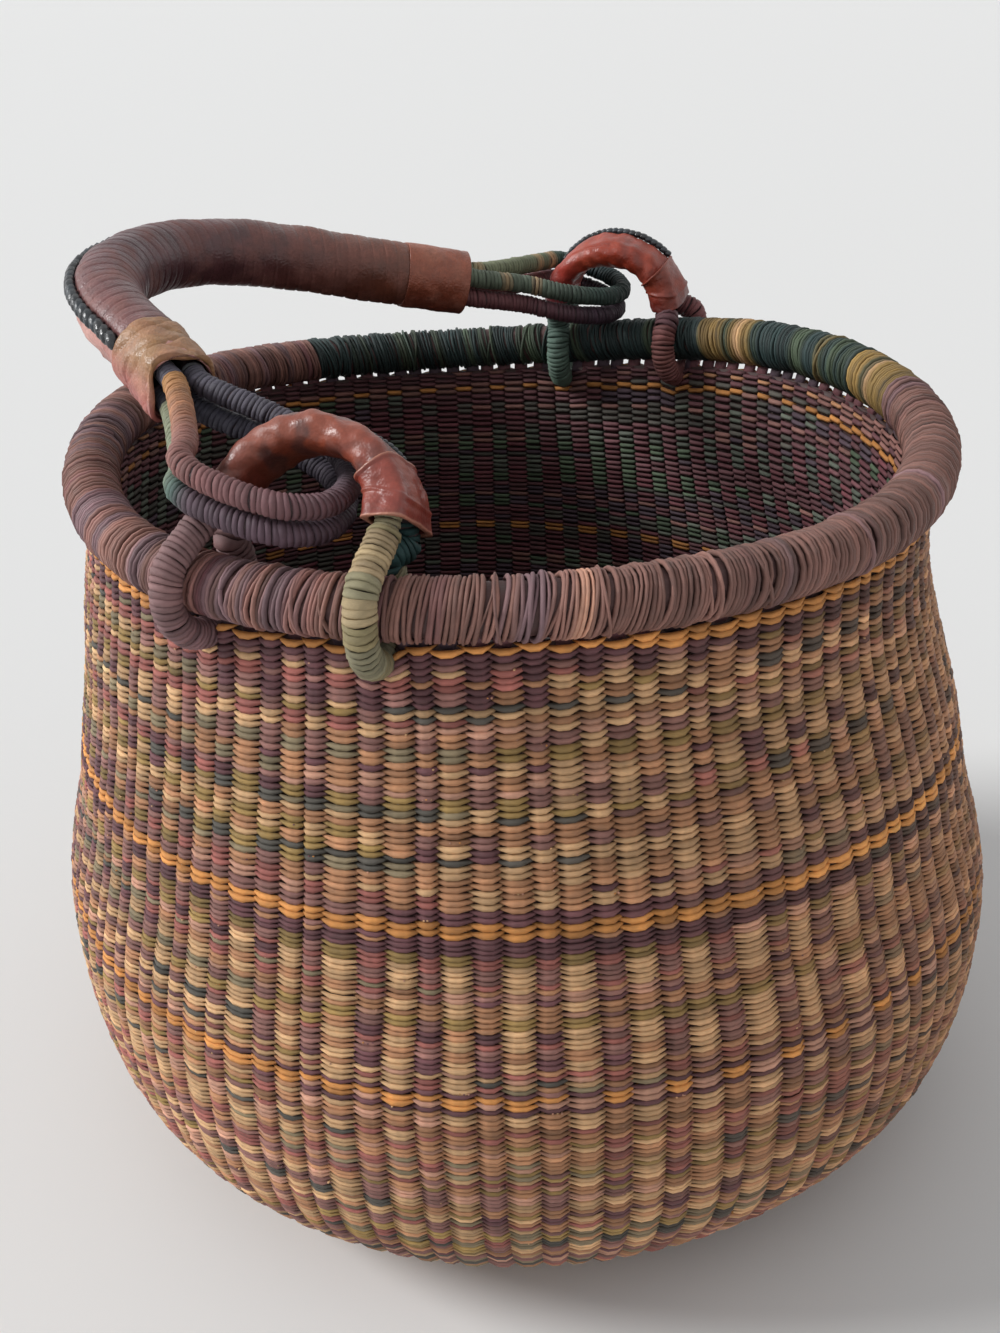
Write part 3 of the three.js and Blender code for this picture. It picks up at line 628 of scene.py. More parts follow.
# Each course of the wall: its piece and node, where it ends, its row height, and its colours on both sides.
wallStart = 1
dim = (dimWarm, dimCool)
courses = [
    ("weft_foot_edge", "wall_foot", 19, 2.6, (cool, warm), dim),
    ("weft_foot_low", "wall_foot", 51, 2.5, (cool, warm), dim),
    ("weft_foot_middle", "wall_foot", 94, 2.4, (cool, warm), dim),
    ("weft_foot_high", "wall_foot", 140.7, 2.25, (edged(cool, 0, 1), edged(warm, 0, 1)), dim),
    ("band_low_weft", "band_low", 145.3, 2.3, (dull, dull), (shadedOrange, plum)),
    ("weft_belly", "wall_belly", 207.2, 2.15, (edged(cool, 1, 3), edged(warm, 1, 4)), dim),
    ("band_middle_weft", "band_middle", 212.8, 2.8, (orange, orange), (shadedOrange, plum)),
    ("weft_shoulder_low", "wall_shoulder", 262, 2.55, (edged(cool, 2, 0), edged(warm, 2, 0)), dim),
    ("weft_shoulder_high", "wall_shoulder", 310.8, 2.8, (edged(cool, 0, 1), edged(warm, 0, 3)),
     (lined(dimWarm), lined(dimCool))),
    ("band_top_weft", "band_top", wallEnd, 2.8, (orange, orange), (plum, plum)),
]


def weaveWall():
    low = wallStart
    for name, node, high, pitch, outside, inside in courses:
        slot = "straw_orange" if node.startswith("band") else "straw_natural"
        layCourse(name, node, slot, low, high, pitch, *outside)
        pitch = max(pitch, weft["insideRow"])
        layCourse(name + "_inside", node, slot, low, high, pitch, *inside, facing=-1)
        low = high


weaveWall()
print("wall woven")

# Inside of the wall, seen only between stitches, painted dark brown: painted shade in the gaps. It has more
# columns by the ears' feet.
backing = {"low": 1.5, "under": 0.6, "rows": 70, "step": 1.5, "nearFeet": np.arange(-4, 4.1, 0.5),
           "outer": -1.9, "inner": -4.1, "code": "463331"}


def layBacking():
    low, high = lengthAt(backing["low"]), lengthAt(wallEnd - backing["under"])
    s = np.linspace(low, high, backing["rows"])[:, None]
    feet = [way % 360 + backing["nearFeet"] for way in footWays]
    azimuth = np.unique(np.concatenate([np.arange(0, 360, backing["step"]), *feet]))[None]
    outer = wallPoint(s, azimuth, backing["outer"])
    inner = wallPoint(s, azimuth, backing["inner"])[::-1]
    bm = skin(np.concatenate([outer, inner]), closeAlong=True)
    piece = finished("wall_stakes", meshFrom(bm, "wall_stakes"), "basket",
                     ["wall_foot", "wall_belly", "wall_shoulder"], coreMaterial)
    paint(piece, lambda p: tone(backing["code"]))


# Ends of the stakes, which go up into the rim with light between them.
stakeEnd = {"half": 3.75, "depth": 1.7, "low": 313.5, "in": -3.2, "sink": 8.5, "clear": 9, "beside": 2.85}


def spanned(azimuth, widths):  # the same widths laid off at every azimuth
    return outwards(azimuth)[:, None] * widths[None, :, None]


def layStakeEnds():
    stamp = podStamp([-1, 1], 8)
    x, y, z = stamp.points.T
    azimuth = columnAt(np.arange(shape["stakes"]), lengthAt(wallEnd))
    aside = [np.abs(turnedFrom(azimuth, way)) for way in footWays]
    azimuth = azimuth[np.radians(np.min(aside, axis=0)) * shape["rimRadius"] > stakeEnd["clear"]]
    feet = np.array(footWays)
    azimuth = np.concatenate([azimuth, feet - stakeEnd["beside"], feet + stakeEnd["beside"]])
    foot = wallPoint(np.full(len(azimuth), lengthAt(stakeEnd["low"])), azimuth, stakeEnd["in"])
    head = rimPoint(azimuth) - (0, 0, stakeEnd["sink"])
    share = ((x + 1) / 2)[None, :, None]
    places = (foot[:, None] * (1 - share) + head[:, None] * share
              + spanned(azimuth + 90, y * stakeEnd["half"]) + spanned(azimuth, z * stakeEnd["depth"]))
    hues = runs(len(azimuth), {"plum": 60, "grape": 40}, 1, 6)
    mesh = layDown("stake_ends", stamp, places, hues, grainOf(stamp, len(azimuth)))
    finished("stake_ends", mesh, "basket", ["band_top"], weftMaterial)


# Cut ends of straw that stand out of the weave here and there, up to three side by side.
stub = {"odds": 0.045, "low": 4, "high": 308, "long": 1.0, "half": 0.42, "flat": 0.8, "out": 0.9,
        "drop": 0.95, "most": 3, "start": (-0.5, 0.3), "apart": 0.42, "loose": 0.2, "astray": 0.06}


def layStubs():
    stamp = podStamp([-1, 1], 5)
    x, y, z = stamp.points.T
    rows = np.arange(lengthAt(stub["low"]), lengthAt(stub["high"]), weft["row"])
    s, azimuth = [], []
    for row in rows:
        for column in np.flatnonzero(rng.random(shape["stakes"]) < stub["odds"]):
            start = rng.uniform(*stub["start"])
            for k in range(int(rng.integers(1, stub["most"] + 1))):
                s.append(row - stub["drop"] + rng.normal(0, stub["loose"]))
                azimuth.append(columnAt(column, row) + start + k * stub["apart"]
                               + rng.normal(0, stub["astray"]))
    s, azimuth = np.array(s), np.array(azimuth)
    many = len(s)
    out = stub["out"] + x * stub["long"] + rng.normal(0, stub["loose"], (many, 1))
    rise = z * stub["half"] * stub["flat"]
    places = (wallPoint(s[:, None] + rise, np.repeat(azimuth[:, None], len(x), 1), out)
              + spanned(azimuth + 90, y * stub["half"]))
    hues = runs(many, {"straw": 40, "peach": 30, "amber": 15, "plum": 15}, 1, 2)
    mesh = layDown("weft_stubs", stamp, places, hues, grainOf(stamp, many))
    finished("weft_stubs", mesh, "basket", ["wall_foot", "wall_belly", "wall_shoulder"],
             weftMaterial)


layBacking()
layStakeEnds()
layStubs()

# Floor: rings of stitches, with more stakes further out, and a thin disc in the middle of them, painted near
# black as painted shade between the stitches.
floorWeft = {"first": 3, "end": 132.5, "stakes": [(16, 15), (34, 30), (75, 60), (133, 120)], "run": (3, 30),
             "lap": 0.53, "lift": 0.9, "low": 0.75, "tip": 0.5, "middle": 0.95, "taper": 0.7, "stagger": 0.5,
             "thick": 0.6, "dye": (0.9, 0.08)}
floorSides = [("floor_inside", 5.6, 1, cool), ("floor_under", 1.2, -1, warm)]
floorDisc = {"line": [(0, 2.2), (133.5, 2.2), (134.3, 3.4), (133.5, 4.6), (0, 4.6)], "columns": 120,
             "middle": 0.01, "join": 3e-5, "code": "33262a"}


def layFloor():
    for name, level, facing, palette in floorSides:
        spots, hues = [], []
        for radius in np.arange(floorWeft["first"], floorWeft["end"], weft["row"]):
            count = next(many for reach, many in floorWeft["stakes"] if radius < reach)
            spots += [(radius, count, k) for k in range(count)]
            hues.append(runs(count, palette, *floorWeft["run"]))
        radius, count, k = np.array(spots, float).T
        t, y, z = innerPod.points.T
        full = humped(t)
        azimuth = (k[:, None] + t * floorWeft["lap"]) * 360 / count[:, None]
        lift = floorWeft["lift"] * full[None] * np.where(k % 2, 1, floorWeft["low"])[:, None]
        half = floorWeft["tip"] + floorWeft["middle"] * full**floorWeft["taper"]
        aside = np.where(k % 2, floorWeft["stagger"], -floorWeft["stagger"])[:, None]
        away = radius[:, None] + half * y + aside
        point = outwards(azimuth) * (away * radiusShare(azimuth))[..., None]
        point[..., 2] = level + facing * (lift - floorWeft["thick"] + floorWeft["thick"] * z)
        many = len(radius)
        colours = shaded(np.concatenate(hues) * rng.normal(*floorWeft["dye"], (many, 1)), full)
        mesh = layDown(name, innerPod, point, colours, grainOf(innerPod, many))
        finished(name, mesh, "basket", ["base_floor"], weftMaterial)
    azimuth = np.linspace(0, 360, floorDisc["columns"], endpoint=False)
    places = np.array([outwards(azimuth) * (max(r, floorDisc["middle"]) * radiusShare(azimuth))[:, None]
                       + (0, 0, z) for r, z in floorDisc["line"]])
    bm = skin(places)
    bmesh.ops.remove_doubles(bm, verts=bm.verts, dist=floorDisc["join"])
    piece = finished("floor_stakes", meshFrom(bm, "floor_stakes"), "basket", ["base_floor"],
                     coreMaterial)
    paint(piece, lambda p: tone(floorDisc["code"]))


layFloor()
print("floor woven")


# Windings: turns of straw laid round a line. Some cross over the others, narrower and aslant.
wideTurn = turnStamp(16, 6)
ropeTurn = turnStamp(12, 5)
plainTurns = {"stamp": ropeTurn, "varied": 0.14, "loose": 0.15, "stray": 0.2, "uneven": 0.08, "lumps": 0.14,
              "crossing": 0, "narrow": 0.8, "astray": (-1.5, 2.2), "lift": 0.35, "grooveShade": 0.46, "edge": 0.8,
              "dye": 0.05, "grain": (2, 0.5, 9)}


def wind(name, node, path, turns, hues, body="basket"):
    # turns: where, radius, half width, thickness and slant of each turn, and how loose they lie
    turns = {**plainTurns, **turns}
    x, y, z = turns["stamp"].points.T
    angle, swell = np.arctan2(y, x), np.hypot(x, y) - stampRadius
    s = turns["where"]
    many = len(s)
    phase = rng.uniform(0, 2 * np.pi, (many, 3))
    over = rng.random((many, 1)) < turns["crossing"]
    wide = turns["half"] * rng.normal(1, turns["varied"], (many, 1)) * np.where(over, turns["narrow"], 1)
    slant = turns["slant"] * np.where(over, rng.uniform(*turns["astray"], (many, 1)), 1)
    along = z * wide + slant * np.cos(angle - phase[:, :1] * turns["loose"])
    along = along + turns["stray"] * np.sin(2 * angle + phase[:, 1:2]) * rng.uniform(0, 1, (many, 1))
    radius = np.broadcast_to(np.asarray(turns["radius"]), (many,))[:, None] + swell * turns["thick"]
    radius = radius + rng.normal(0, turns["uneven"], (many, 1))
    radius = radius + turns["lumps"] * np.sin(3 * angle + phase[:, 2:]) + turns["lift"] * over
    places = path.place(s[:, None] + along, np.broadcast_to(angle, along.shape), radius)
    round_, across, apart = turns["grain"]
    grain = np.stack([np.broadcast_to(angle * round_, along.shape) + phase[:, :1] * apart,
                      np.broadcast_to(z * across, along.shape) + phase[:, 1:2] * apart], -1)
    # Painted shade: each turn is darker towards its inner side, in the grooves between turns; groove and edge
    # set how dark and how far.
    top = np.clip(swell * 0.5 + 0.5, 0, 1) ** turns["edge"]
    top = turns["grooveShade"] + (1 - turns["grooveShade"]) * top
    colours = hues[:, None] * top[None, :, None] * rng.normal(1, turns["dye"], (many, 1, 1))
    mesh = layDown(name, turns["stamp"], places, np.clip(colours, 0, 1), grain)
    finished(name, mesh, body, [node], woundMaterial)


stemStep, stemSides = 3, 10


def stem(name, node, path, radius, body="basket", code="3a2a2c"):  # what the turns are wound round, painted dark: painted shade in the gaps between turns
    rows = round(path.length / stemStep)
    s = np.linspace(0, path.length, rows, endpoint=False)
    angle = np.linspace(0, 2 * np.pi, stemSides, endpoint=False)
    places = path.place(np.repeat(s[:, None], stemSides, 1), np.repeat(angle[None], rows, 0),
                        np.full((rows, stemSides), radius))
    piece = finished(name, meshFrom(skin(places, closeAlong=True), name), body, [node], coreMaterial)
    paint(piece, lambda p: tone(code))


# Rim. Each length of winding: from and to in degrees, slot, brightness and colours. The brightness is partly
# the straw's own tone and partly painted shade, dimmer on the right and far parts.
rimAzimuths = np.arange(0, 360.1, 0.75)
rimPath = Path(rimPoint(rimAzimuths[:-1]), closed=True)
rimParts = [
    ("mauve_left", 144, 294, "straw_mauve", 1.05, {"cocoa": 54, "lilac": 34, "plum": 6, "mauve": 6}),
    ("pale_front", 294, 306, "straw_pale", 1.0, {"cocoa": 60, "peach": 22, "lilac": 18}),
    ("mauve_right", 306, 384, "straw_mauve", 0.85, {"cocoa": 84, "lilac": 8, "mauve": 8}),
    ("pale_right", 24, 36, "straw_pale", 0.85, {"olive": 50, "straw": 30, "moss": 20}),
    ("green_right", 36, 60, "straw_green", 0.9, {"pine": 52, "moss": 26, "fern": 10, "olive": 12}),
    ("pale_far", 60, 72, "straw_pale", 0.8, {"olive": 46, "moss": 34, "straw": 20}),
    ("green_far", 72, 144, "straw_green", 0.75, {"pine": 54, "moss": 28, "fern": 15, "olive": 3}),
]
rimTurns = {"stamp": wideTurn, "half": 0.9, "thick": 1.25, "slant": 2.4, "stray": 0.7, "uneven": 0.32,
            "grooveShade": 0.32, "crossing": 0.08, "loose": 0.05}
# The rim stems' colour is the strands' mauve brown, darkened as painted shade in the gaps between turns.
rim = {"pitch": 1.62, "first": 1.1, "shift": 0.15, "radius": 10.7, "farThinner": 0.7, "far": (105, 45),
       "bright": 1.08, "dye": 0.2, "under": 0.1, "code": "5c4240"}


def blended(colours, width):  # neighbours share their colours
    padded = np.vstack([colours[:1]] * width + [colours] + [colours[-1:]] * width)
    weights = np.hanning(2 * width + 3)[1:-1]
    return np.stack([np.convolve(padded[:, k], weights / weights.sum(), "valid") for k in range(3)], 1)


def windRim():
    far, wide = rim["far"]
    for name, low, high, slot, shade, palette in rimParts:
        ends = np.interp([low % 360, high % 360 if high > 360 else high], rimAzimuths, rimPath.lengths)
        ends[1] += rimPath.length if high > 360 else 0
        where = np.arange(ends[0] + rim["first"], ends[1], rim["pitch"])
        hues = blended(runs(len(where), palette, 1, 4), 1)
        hues = hues * rng.normal(shade * rim["bright"], rim["dye"], (len(where), 1))
        azimuth = np.interp(np.mod(where, rimPath.length), rimPath.lengths, rimAzimuths)
        radius = rim["radius"] - rim["farThinner"] * np.exp(-(((azimuth - far) / wide) ** 2))
        turns = {**rimTurns, "where": where + rng.normal(0, rim["shift"], len(where)), "radius": radius}
        wind("rim_" + name, "rim_wrap_" + name, rimPath, turns, hues)
    stem("rim_stems", "rim_core", rimPath, rim["radius"] - rim["farThinner"] - rim["under"],
         code=rim["code"])


windRim()
print("rim wound")


# Ears.
def normal(v):
    return v / np.linalg.norm(v)


# The ear's rope goes over the arch, and in each foot's loop turns back under the rim. Angles in degrees.
earRope = {"last": 88, "end": 80, "step": 16, "footStart": 40, "footStep": 26, "footPoints": 11}


class Ear:
    def __init__(self, side):
        self.side = side
        out = outwards(np.array(float(shape["facing"][side])))
        lean = math.radians(shape["lean"][side])
        self.along = np.array([1.0, 0, 0])
        self.up = np.array([0, 0, 1.0]) * math.cos(lean) - out * math.sin(lean)
        self.across = normal(out - self.up * (out @ self.up))
        self.feet = {"left": rimPoint(shape["feet"][side][0]), "right": rimPoint(shape["feet"][side][1])}
        middle = (self.feet["left"] + self.feet["right"]) / 2
        self.centre = middle + self.up * ((shape["archHeight"][side] - middle[2]) / math.cos(lean))
        self.centre[0] = 0
        self.radius = shape["arch"][side]

    def away(self, angle):
        a = np.radians(np.asarray(angle, float))[..., None]
        return self.along * np.sin(a) + self.up * np.cos(a)

    def point(self, angle, across):
        return self.centre + self.away(angle) * self.radius + self.across * np.asarray(across)[..., None]

    def spread(self, angle):
        over = np.maximum(0, np.abs(angle) - shape["flareStart"]) / (shape["archEnd"] - shape["flareStart"])
        return shape["pinched"] + touch / 2 + over * shape["flare"]

    def ropeLine(self):
        last, end, step = earRope["last"], earRope["end"], earRope["step"]
        angles = np.array([-last, *range(-end, end + 1, step), last])
        round_ = earRope["footStep"] * np.arange(earRope["footPoints"])
        footAngles = np.radians(earRope["footStart"] - round_)
        leftWay, rightWay = shape["feet"][self.side]
        made = []
        for sign, foot, way in ((1, "right", rightWay), (-1, "left", leftWay)):
            made += list(self.point(sign * angles, sign * self.spread(angles)))
            out = outwards(np.array(float(way)))
            made += [self.feet[foot] + out * (sign * math.cos(angle) * footLoop)
                     + np.array([0, 0, math.sin(angle) * footLoop]) for angle in footAngles]
        return np.array(made)

    def skinPlace(self, angle, round_, radius):  # round_ in turns, from the outer side's middle
        a, r = np.broadcast_arrays(np.asarray(angle, float), round_)
        turn = r * 2 * np.pi
        across = np.sign(np.cos(turn)) * np.minimum(1, np.abs(np.cos(turn)) * 3) * self.spread(a)
        return (self.point(a, across + radius * np.cos(turn))
                + self.away(a) * (radius * np.sin(turn))[..., None])


ears = {side: Ear(side) for side in ("near", "far")}
# Bores are a little wider than what they hold, because the solids' rounds have flat sides.
sleeveBore = (shape["pinched"] + touch) / math.cos(math.radians(18))
sleeveOut = sleeveBore + 1
earCollarOut = sleeveOut + touch + 1.1


def mixed(table, where):  # a colour that changes along a table of places and codes
    places, codes = zip(*table)
    colours = np.array([tone(code) for code in codes])
    return np.stack([np.interp(where, places, colours[:, k]) for k in range(3)], -1)


# Colours by height over the rim: each foot and the back strand has its own.
earLooks = {
    "near": {"left": [(-25, "7f6064"), (0, "8f6d6c"), (30, "7d6263")],
             "right": [(-25, "84856d"), (20, "a39f7e")], "rear": [(0, "22403f"), (30, "2b4a4a")]},
    "far": {"left": [(-25, "667d6d"), (10, "566d63")],
            "right": [(-25, "7d4f52"), (0, "93605a"), (20, "6f3f40")], "rear": [(0, "6b4448"), (30, "5a3a40")]},
}
winding = {"pitch": 2.2, "half": 1.28, "thick": 0.8, "slant": 0.8}
# The first turn, at 88 degrees, is pinched at the near ear and not at the far one.
earWinding = {"press": 0.32, "under": 0.9, "below": 4, "hidden": 62, "lean": 8,
              "arch": {"near": 88.1, "far": 87.9}, "dye": 0.11}
rearRise = 10
paleFoot = {"pitch": 1.1, "odd": {"straw": 22, "tan": 8, "olive": 26, "sage": 44}, "share": 0.4}


def earHues(ear, points):
    right = points @ ear.along > ear.centre[0]
    behind = right & ((points - ear.feet["right"]) @ ear.across < 0)
    behind &= points[:, 2] > ear.feet["right"][2] + rearRise
    height = points[:, 2] - shape["rimHeight"]
    looks = {key: mixed(table, height) for key, table in earLooks[ear.side].items()}
    pale = looks["right"]
    if ear.side == "near":
        pale = pale * (1 - paleFoot["share"]) + runs(len(points), paleFoot["odd"], 1, 4) * paleFoot["share"]
    hues = np.where(right[:, None], pale, looks["left"])
    hues = np.where(behind[:, None], looks["rear"], hues)
    return hues * rng.normal(1, earWinding["dye"], (len(points), 1))


def earAngle(ear, points):
    away = points - ear.centre
    return np.degrees(np.arctan2(away @ ear.along, away @ ear.up))


def windEar(ear):
    path = Path(smoothLine(ear.ropeLine(), closed=True, steps=8), closed=True, start=ear.up)
    where, s = [], 0.0
    while s < path.length - 1:
        where.append(s)
        wider = ear.side == "near" and path.at(s, path.points) @ ear.along > ear.centre[0]
        s += winding["pitch"] * (paleFoot["pitch"] if wider else 1)
    where = np.array(where)
    points = path.at(where, path.points)
    angle = earAngle(ear, points)
    below = ear.centre[2] - earWinding["below"]
    showing = (np.abs(angle + earWinding["lean"]) > earWinding["hidden"]) | (points[:, 2] < below)
    where, points, angle = where[showing], points[showing], angle[showing]
    onArch = (np.abs(angle) < earWinding["arch"][ear.side]) & (points[:, 2] > below)
    radius = np.where(onArch, shape["pinched"], shape["rope"]) - winding["thick"] - earWinding["press"]
    name, slot = "ear_" + ear.side, f"rope_{ear.side}_ear"
    wind(name + "_winding", name + "_rope", path, {**winding, "where": where, "radius": radius},
         earHues(ear, points))
    stem(name + "_stems", name + "_rope", path, shape["pinched"] - earWinding["under"])


# Leather.
def bend(points, *waves):  # soft unevenness, from waves with a reach and a size in millimetres and a seed
    flat = points.reshape(-1, 3)
    made = 0
    for reach, size, seed in waves:
        values = [noise.noise(Vector(p / reach) + Vector((seed, 0, 0))) for p in flat]
        made = made + np.array(values).reshape(points.shape[:-1]) * size
    return made


def hide(name, node, material, hue, placeAt, cut, folds, body="basket"):
    # a closed tube of leather: outside, turned end and inside
    stations, columns, radius = np.linspace(*cut["span"]), cut["columns"], cut["radius"]
    rounds = np.linspace(0, 1, columns, endpoint=False)[None]
    rows = stations[:, None]
    plain = placeAt(rows, rounds, np.full((len(stations), columns), radius))
    outer = placeAt(rows, rounds, radius + folds(rows, rounds, plain))
    ends = np.array([rows[0], rows[-1]])
    edge = placeAt(ends, rounds, np.full((2, columns), radius - cut["thick"] * 0.55))
    inner = placeAt(rows[::-1], rounds, np.full((len(stations), columns), radius - cut["thick"]))
    bm = skin(np.concatenate([edge[:1], outer, edge[1:], inner]), closeAlong=True)
    piece = finished(name, meshFrom(bm, name), body, [node], material)
    paint(piece, hue)


redLeather = leatherMaterial("redLeather", "a8644f", 0.3, 0.22, 0.85)
farLeather = leatherMaterial("farLeather", "b4553c", 0.3, 0.3, 0.95)
blackLeather = leatherMaterial("blackLeather", "3c4a54", 0.5, 0.3, 0.7)
wrapLeather = leatherMaterial("wrapLeather", "8a5a50", 0.4, 0.4)
pinkLeather = leatherMaterial("pinkLeather", "dcb0a6", 0.6, 0.5)
tanLeather = leatherMaterial("tanLeather", "bd8672", 0.4, 0.5)

bead = podStamp([-1, -0.88, -0.5, 0, 0.5, 0.88, 1], 8)
beadShape = {"end": 0.12, "blunt": 3, "round": 0.6, "last": 0.6, "lean": 0.35, "varied": 0.07, "uneven": 0.1,
             "code": "1d2024"}


def beads(name, node, path, size, body="basket"):
    t, y, z = bead.points.T
    width = np.maximum(beadShape["end"], 1 - np.abs(t) ** beadShape["blunt"]) ** beadShape["round"]
    where = np.arange(size["half"], path.length - size["half"] * beadShape["last"], size["pitch"])
    many = len(where)
    s = where[:, None] + t * size["half"] * rng.normal(1, beadShape["varied"], (many, 1))
    out = z * width * size["thick"] + beadShape["lean"] * t
    beside = y * width * size["wide"] + size["slant"] * t * rng.normal(1, beadShape["uneven"], (many, 1))
    out = np.broadcast_to(out, beside.shape) + rng.normal(0, beadShape["uneven"], (many, 1))
    places = (path.at(s, path.points) + path.at(s, path.side) * out[..., None]
              + path.at(s, path.cross) * beside[..., None])
    hues = np.tile(tone(beadShape["code"]), (many, 1))
    mesh = layDown(name, bead, places, hues, grainOf(bead, many))
    finished(name, mesh, body, [node], blackLeather)


# Leather colours along the arch, in degrees from its top. The pink at the far sleeve's left end is a painted
# highlight.
sleeveLooks = {"near": [(-80, "74352c"), (-35, "80402f"), (10, "8a432f"), (62, "7c3226")],
               "far": [(-80, "b25a60"), (-62, "a8403a"), (-25, "973620"), (62, "86301f")]}
# At the near collar's two ends the colour turns pale: partly the leather's pale cut edge, partly painted
# highlight.
collarLooks = {"near": [(48, "a8705c"), (49.5, "80362a"), (66, "863a2d"), (80.5, "782f26"), (81, "b47a66")],
               "far": [(48, "7a3220"), (60, "752918"), (82, "5f201a")]}
braid = {"near": {"half": 2.1, "pitch": 2.6, "thick": 1.2, "wide": 1.5, "slant": 0.8},
         "far": {"half": 2.6, "pitch": 3.2, "thick": 1.9, "wide": 2.3, "slant": 0.6}}


# Cuts: first and last row and their number, and columns. Rows are in degrees along the arch.
sleeveCut = {"span": (-80, 62, 90), "columns": 56, "radius": sleeveOut, "thick": 1.1}
stripCut = {"span": (48, 82, 44), "columns": 60, "radius": earCollarOut, "thick": 1.3}
braidLine = {"span": (-66, 48, 60), "high": 1.5}
sleeveFolds = {"waves": [(10, 1.3, 3), (4.5, 0.6, 9)], "puckers": (0.42, 5, 0.16),
               "seam": (118, 0.1, 5, 0.7), "scuff": (7, 1, 21), "scuffEdge": (3, 0.1),
               "scuffCode": "4c3331"}
stripFolds = {"waves": [(9, 1.0, 5), (3, 0.4, 2)], "lip": (50, 0.6), "crease": (66, 7, 1.2, 0.7),
              "shade": (6, 0.25, 13)}
earWear = {"near": {"leather": redLeather, "scuffed": 0.75, "boxy": 7, "braidSide": -1},
           "far": {"leather": farLeather, "scuffed": 0.3, "boxy": -2, "braidSide": 1}}


def coverEar(ear):
    name, wear = "ear_" + ear.side, earWear[ear.side]

    def sleeveRelief(rows, rounds, plain):
        often, swing, deep = sleeveFolds["puckers"]
        puckers = np.sin(rows * often + swing * np.sin(rounds * roundTurn)) * deep
        way, slant, wide, sunk = sleeveFolds["seam"]
        seam = -sunk * np.exp(-(((rounds * 360 - way - rows * slant) / wide) ** 2))
        return bend(plain, *sleeveFolds["waves"]) + puckers + seam

    def sleeveHue(points):
        colours = mixed(sleeveLooks[ear.side], earAngle(ear, points))
        sharp, less = sleeveFolds["scuffEdge"]
        scuff = np.clip(bend(points, sleeveFolds["scuff"]) * sharp - less, 0, 1)[:, None] * wear["scuffed"]
        return colours * (1 - scuff) + tone(sleeveFolds["scuffCode"]) * scuff

    def stripRelief(rows, rounds, plain):
        turned = rounds * roundTurn
        square = 1 / (np.cos(turned) ** 4 + np.sin(turned) ** 4) ** 0.25 - 1
        end, lift = stripFolds["lip"]
        way, swing, wide, high = stripFolds["crease"]
        lip = lift * (rows < end) + high * np.exp(-(((rows - way - swing * np.sin(turned)) / wide) ** 2))
        return bend(plain, *stripFolds["waves"]) + square * wear["boxy"] + lip

    def stripHue(points):
        shade = 1 + bend(points, stripFolds["shade"])
        return mixed(collarLooks[ear.side], earAngle(ear, points)) * shade[:, None]

    hide(name + "_leather", name + "_sleeve", wear["leather"], sleeveHue, ear.skinPlace,
         sleeveCut, sleeveRelief)
    hide(name + "_strip", name + "_collar", wear["leather"], stripHue, ear.skinPlace,
         stripCut, stripRelief)
    angles = np.linspace(*braidLine["span"])
    lift = (sleeveOut + braidLine["high"] + touch) * math.sqrt(0.5)
    line = ear.point(angles, wear["braidSide"] * (ear.spread(angles) + lift)) + ear.away(angles) * lift
    beads(name + "_braid", name + "_edging", Path(line, start=ear.up), braid[ear.side])


for ear in ears.values():
    windEar(ear)
    coverEar(ear)
print("ears made")


# Handle.
tilt = math.radians(shape["tilt"])
handleOut = np.array([-math.sin(tilt), 0, math.cos(tilt)])
handleBeside = np.array([math.cos(tilt), 0, math.sin(tilt)])


def handlePoint(along, out, beside):
    along, out, beside = (np.asarray(v, float)[..., None] for v in (along, out, beside))
    return (np.array([0, 0, shape["hinge"]]) + along * np.array([0, 1, 0]) + out * handleOut
            + beside * handleBeside)


bundle = smoothLine([(*p, 0) for p in shape["bundle"]], steps=24)
bundleLengths, bundleAhead = lengthsOf(bundle)
strandOffset = shape["handleRope"] + touch / 2


def bundleAt(share):
    s = np.asarray(share) * bundleLengths[-1]
    return alongLine(s, bundleLengths, bundle), alongLine(s, bundleLengths, bundleAhead)


def gripPlace(share, round_, radius):  # round_ in turns, from the outer side over the top
    share, round_ = np.broadcast_arrays(np.asarray(share, float), round_)
    (along, out), (ax, ay) = bundleAt(share)
    reach = radius * np.cos(round_ * 2 * np.pi)
    return handlePoint(along - ay * reach, out + ax * reach, radius * np.sin(round_ * 2 * np.pi))


def loopBar(side):  # where the ear's arch crosses the handle's plane
    return ears[side].point(shape["tilt"], 0.0)[1]


def endLoop(side):
    sign = -1 if side == "near" else 1
    return [(loopBar(side) + sign * beyond, out) for beyond, out in shape["loops"][side]]


ringStrand = 23  # points of the ring on each side of the grip
ringSteps = 8


def ringLine():
    shares = np.array([0, *np.linspace(shape["gripStart"], shape["gripEnd"], ringStrand - 2), 1])
    (along, out), (ax, ay) = bundleAt(shares)
    outer = list(zip(along - ay * strandOffset, out + ax * strandOffset))
    inner = list(zip(along + ay * strandOffset, out - ax * strandOffset))
    return np.array(outer + endLoop("far") + inner[::-1] + endLoop("near")[::-1])


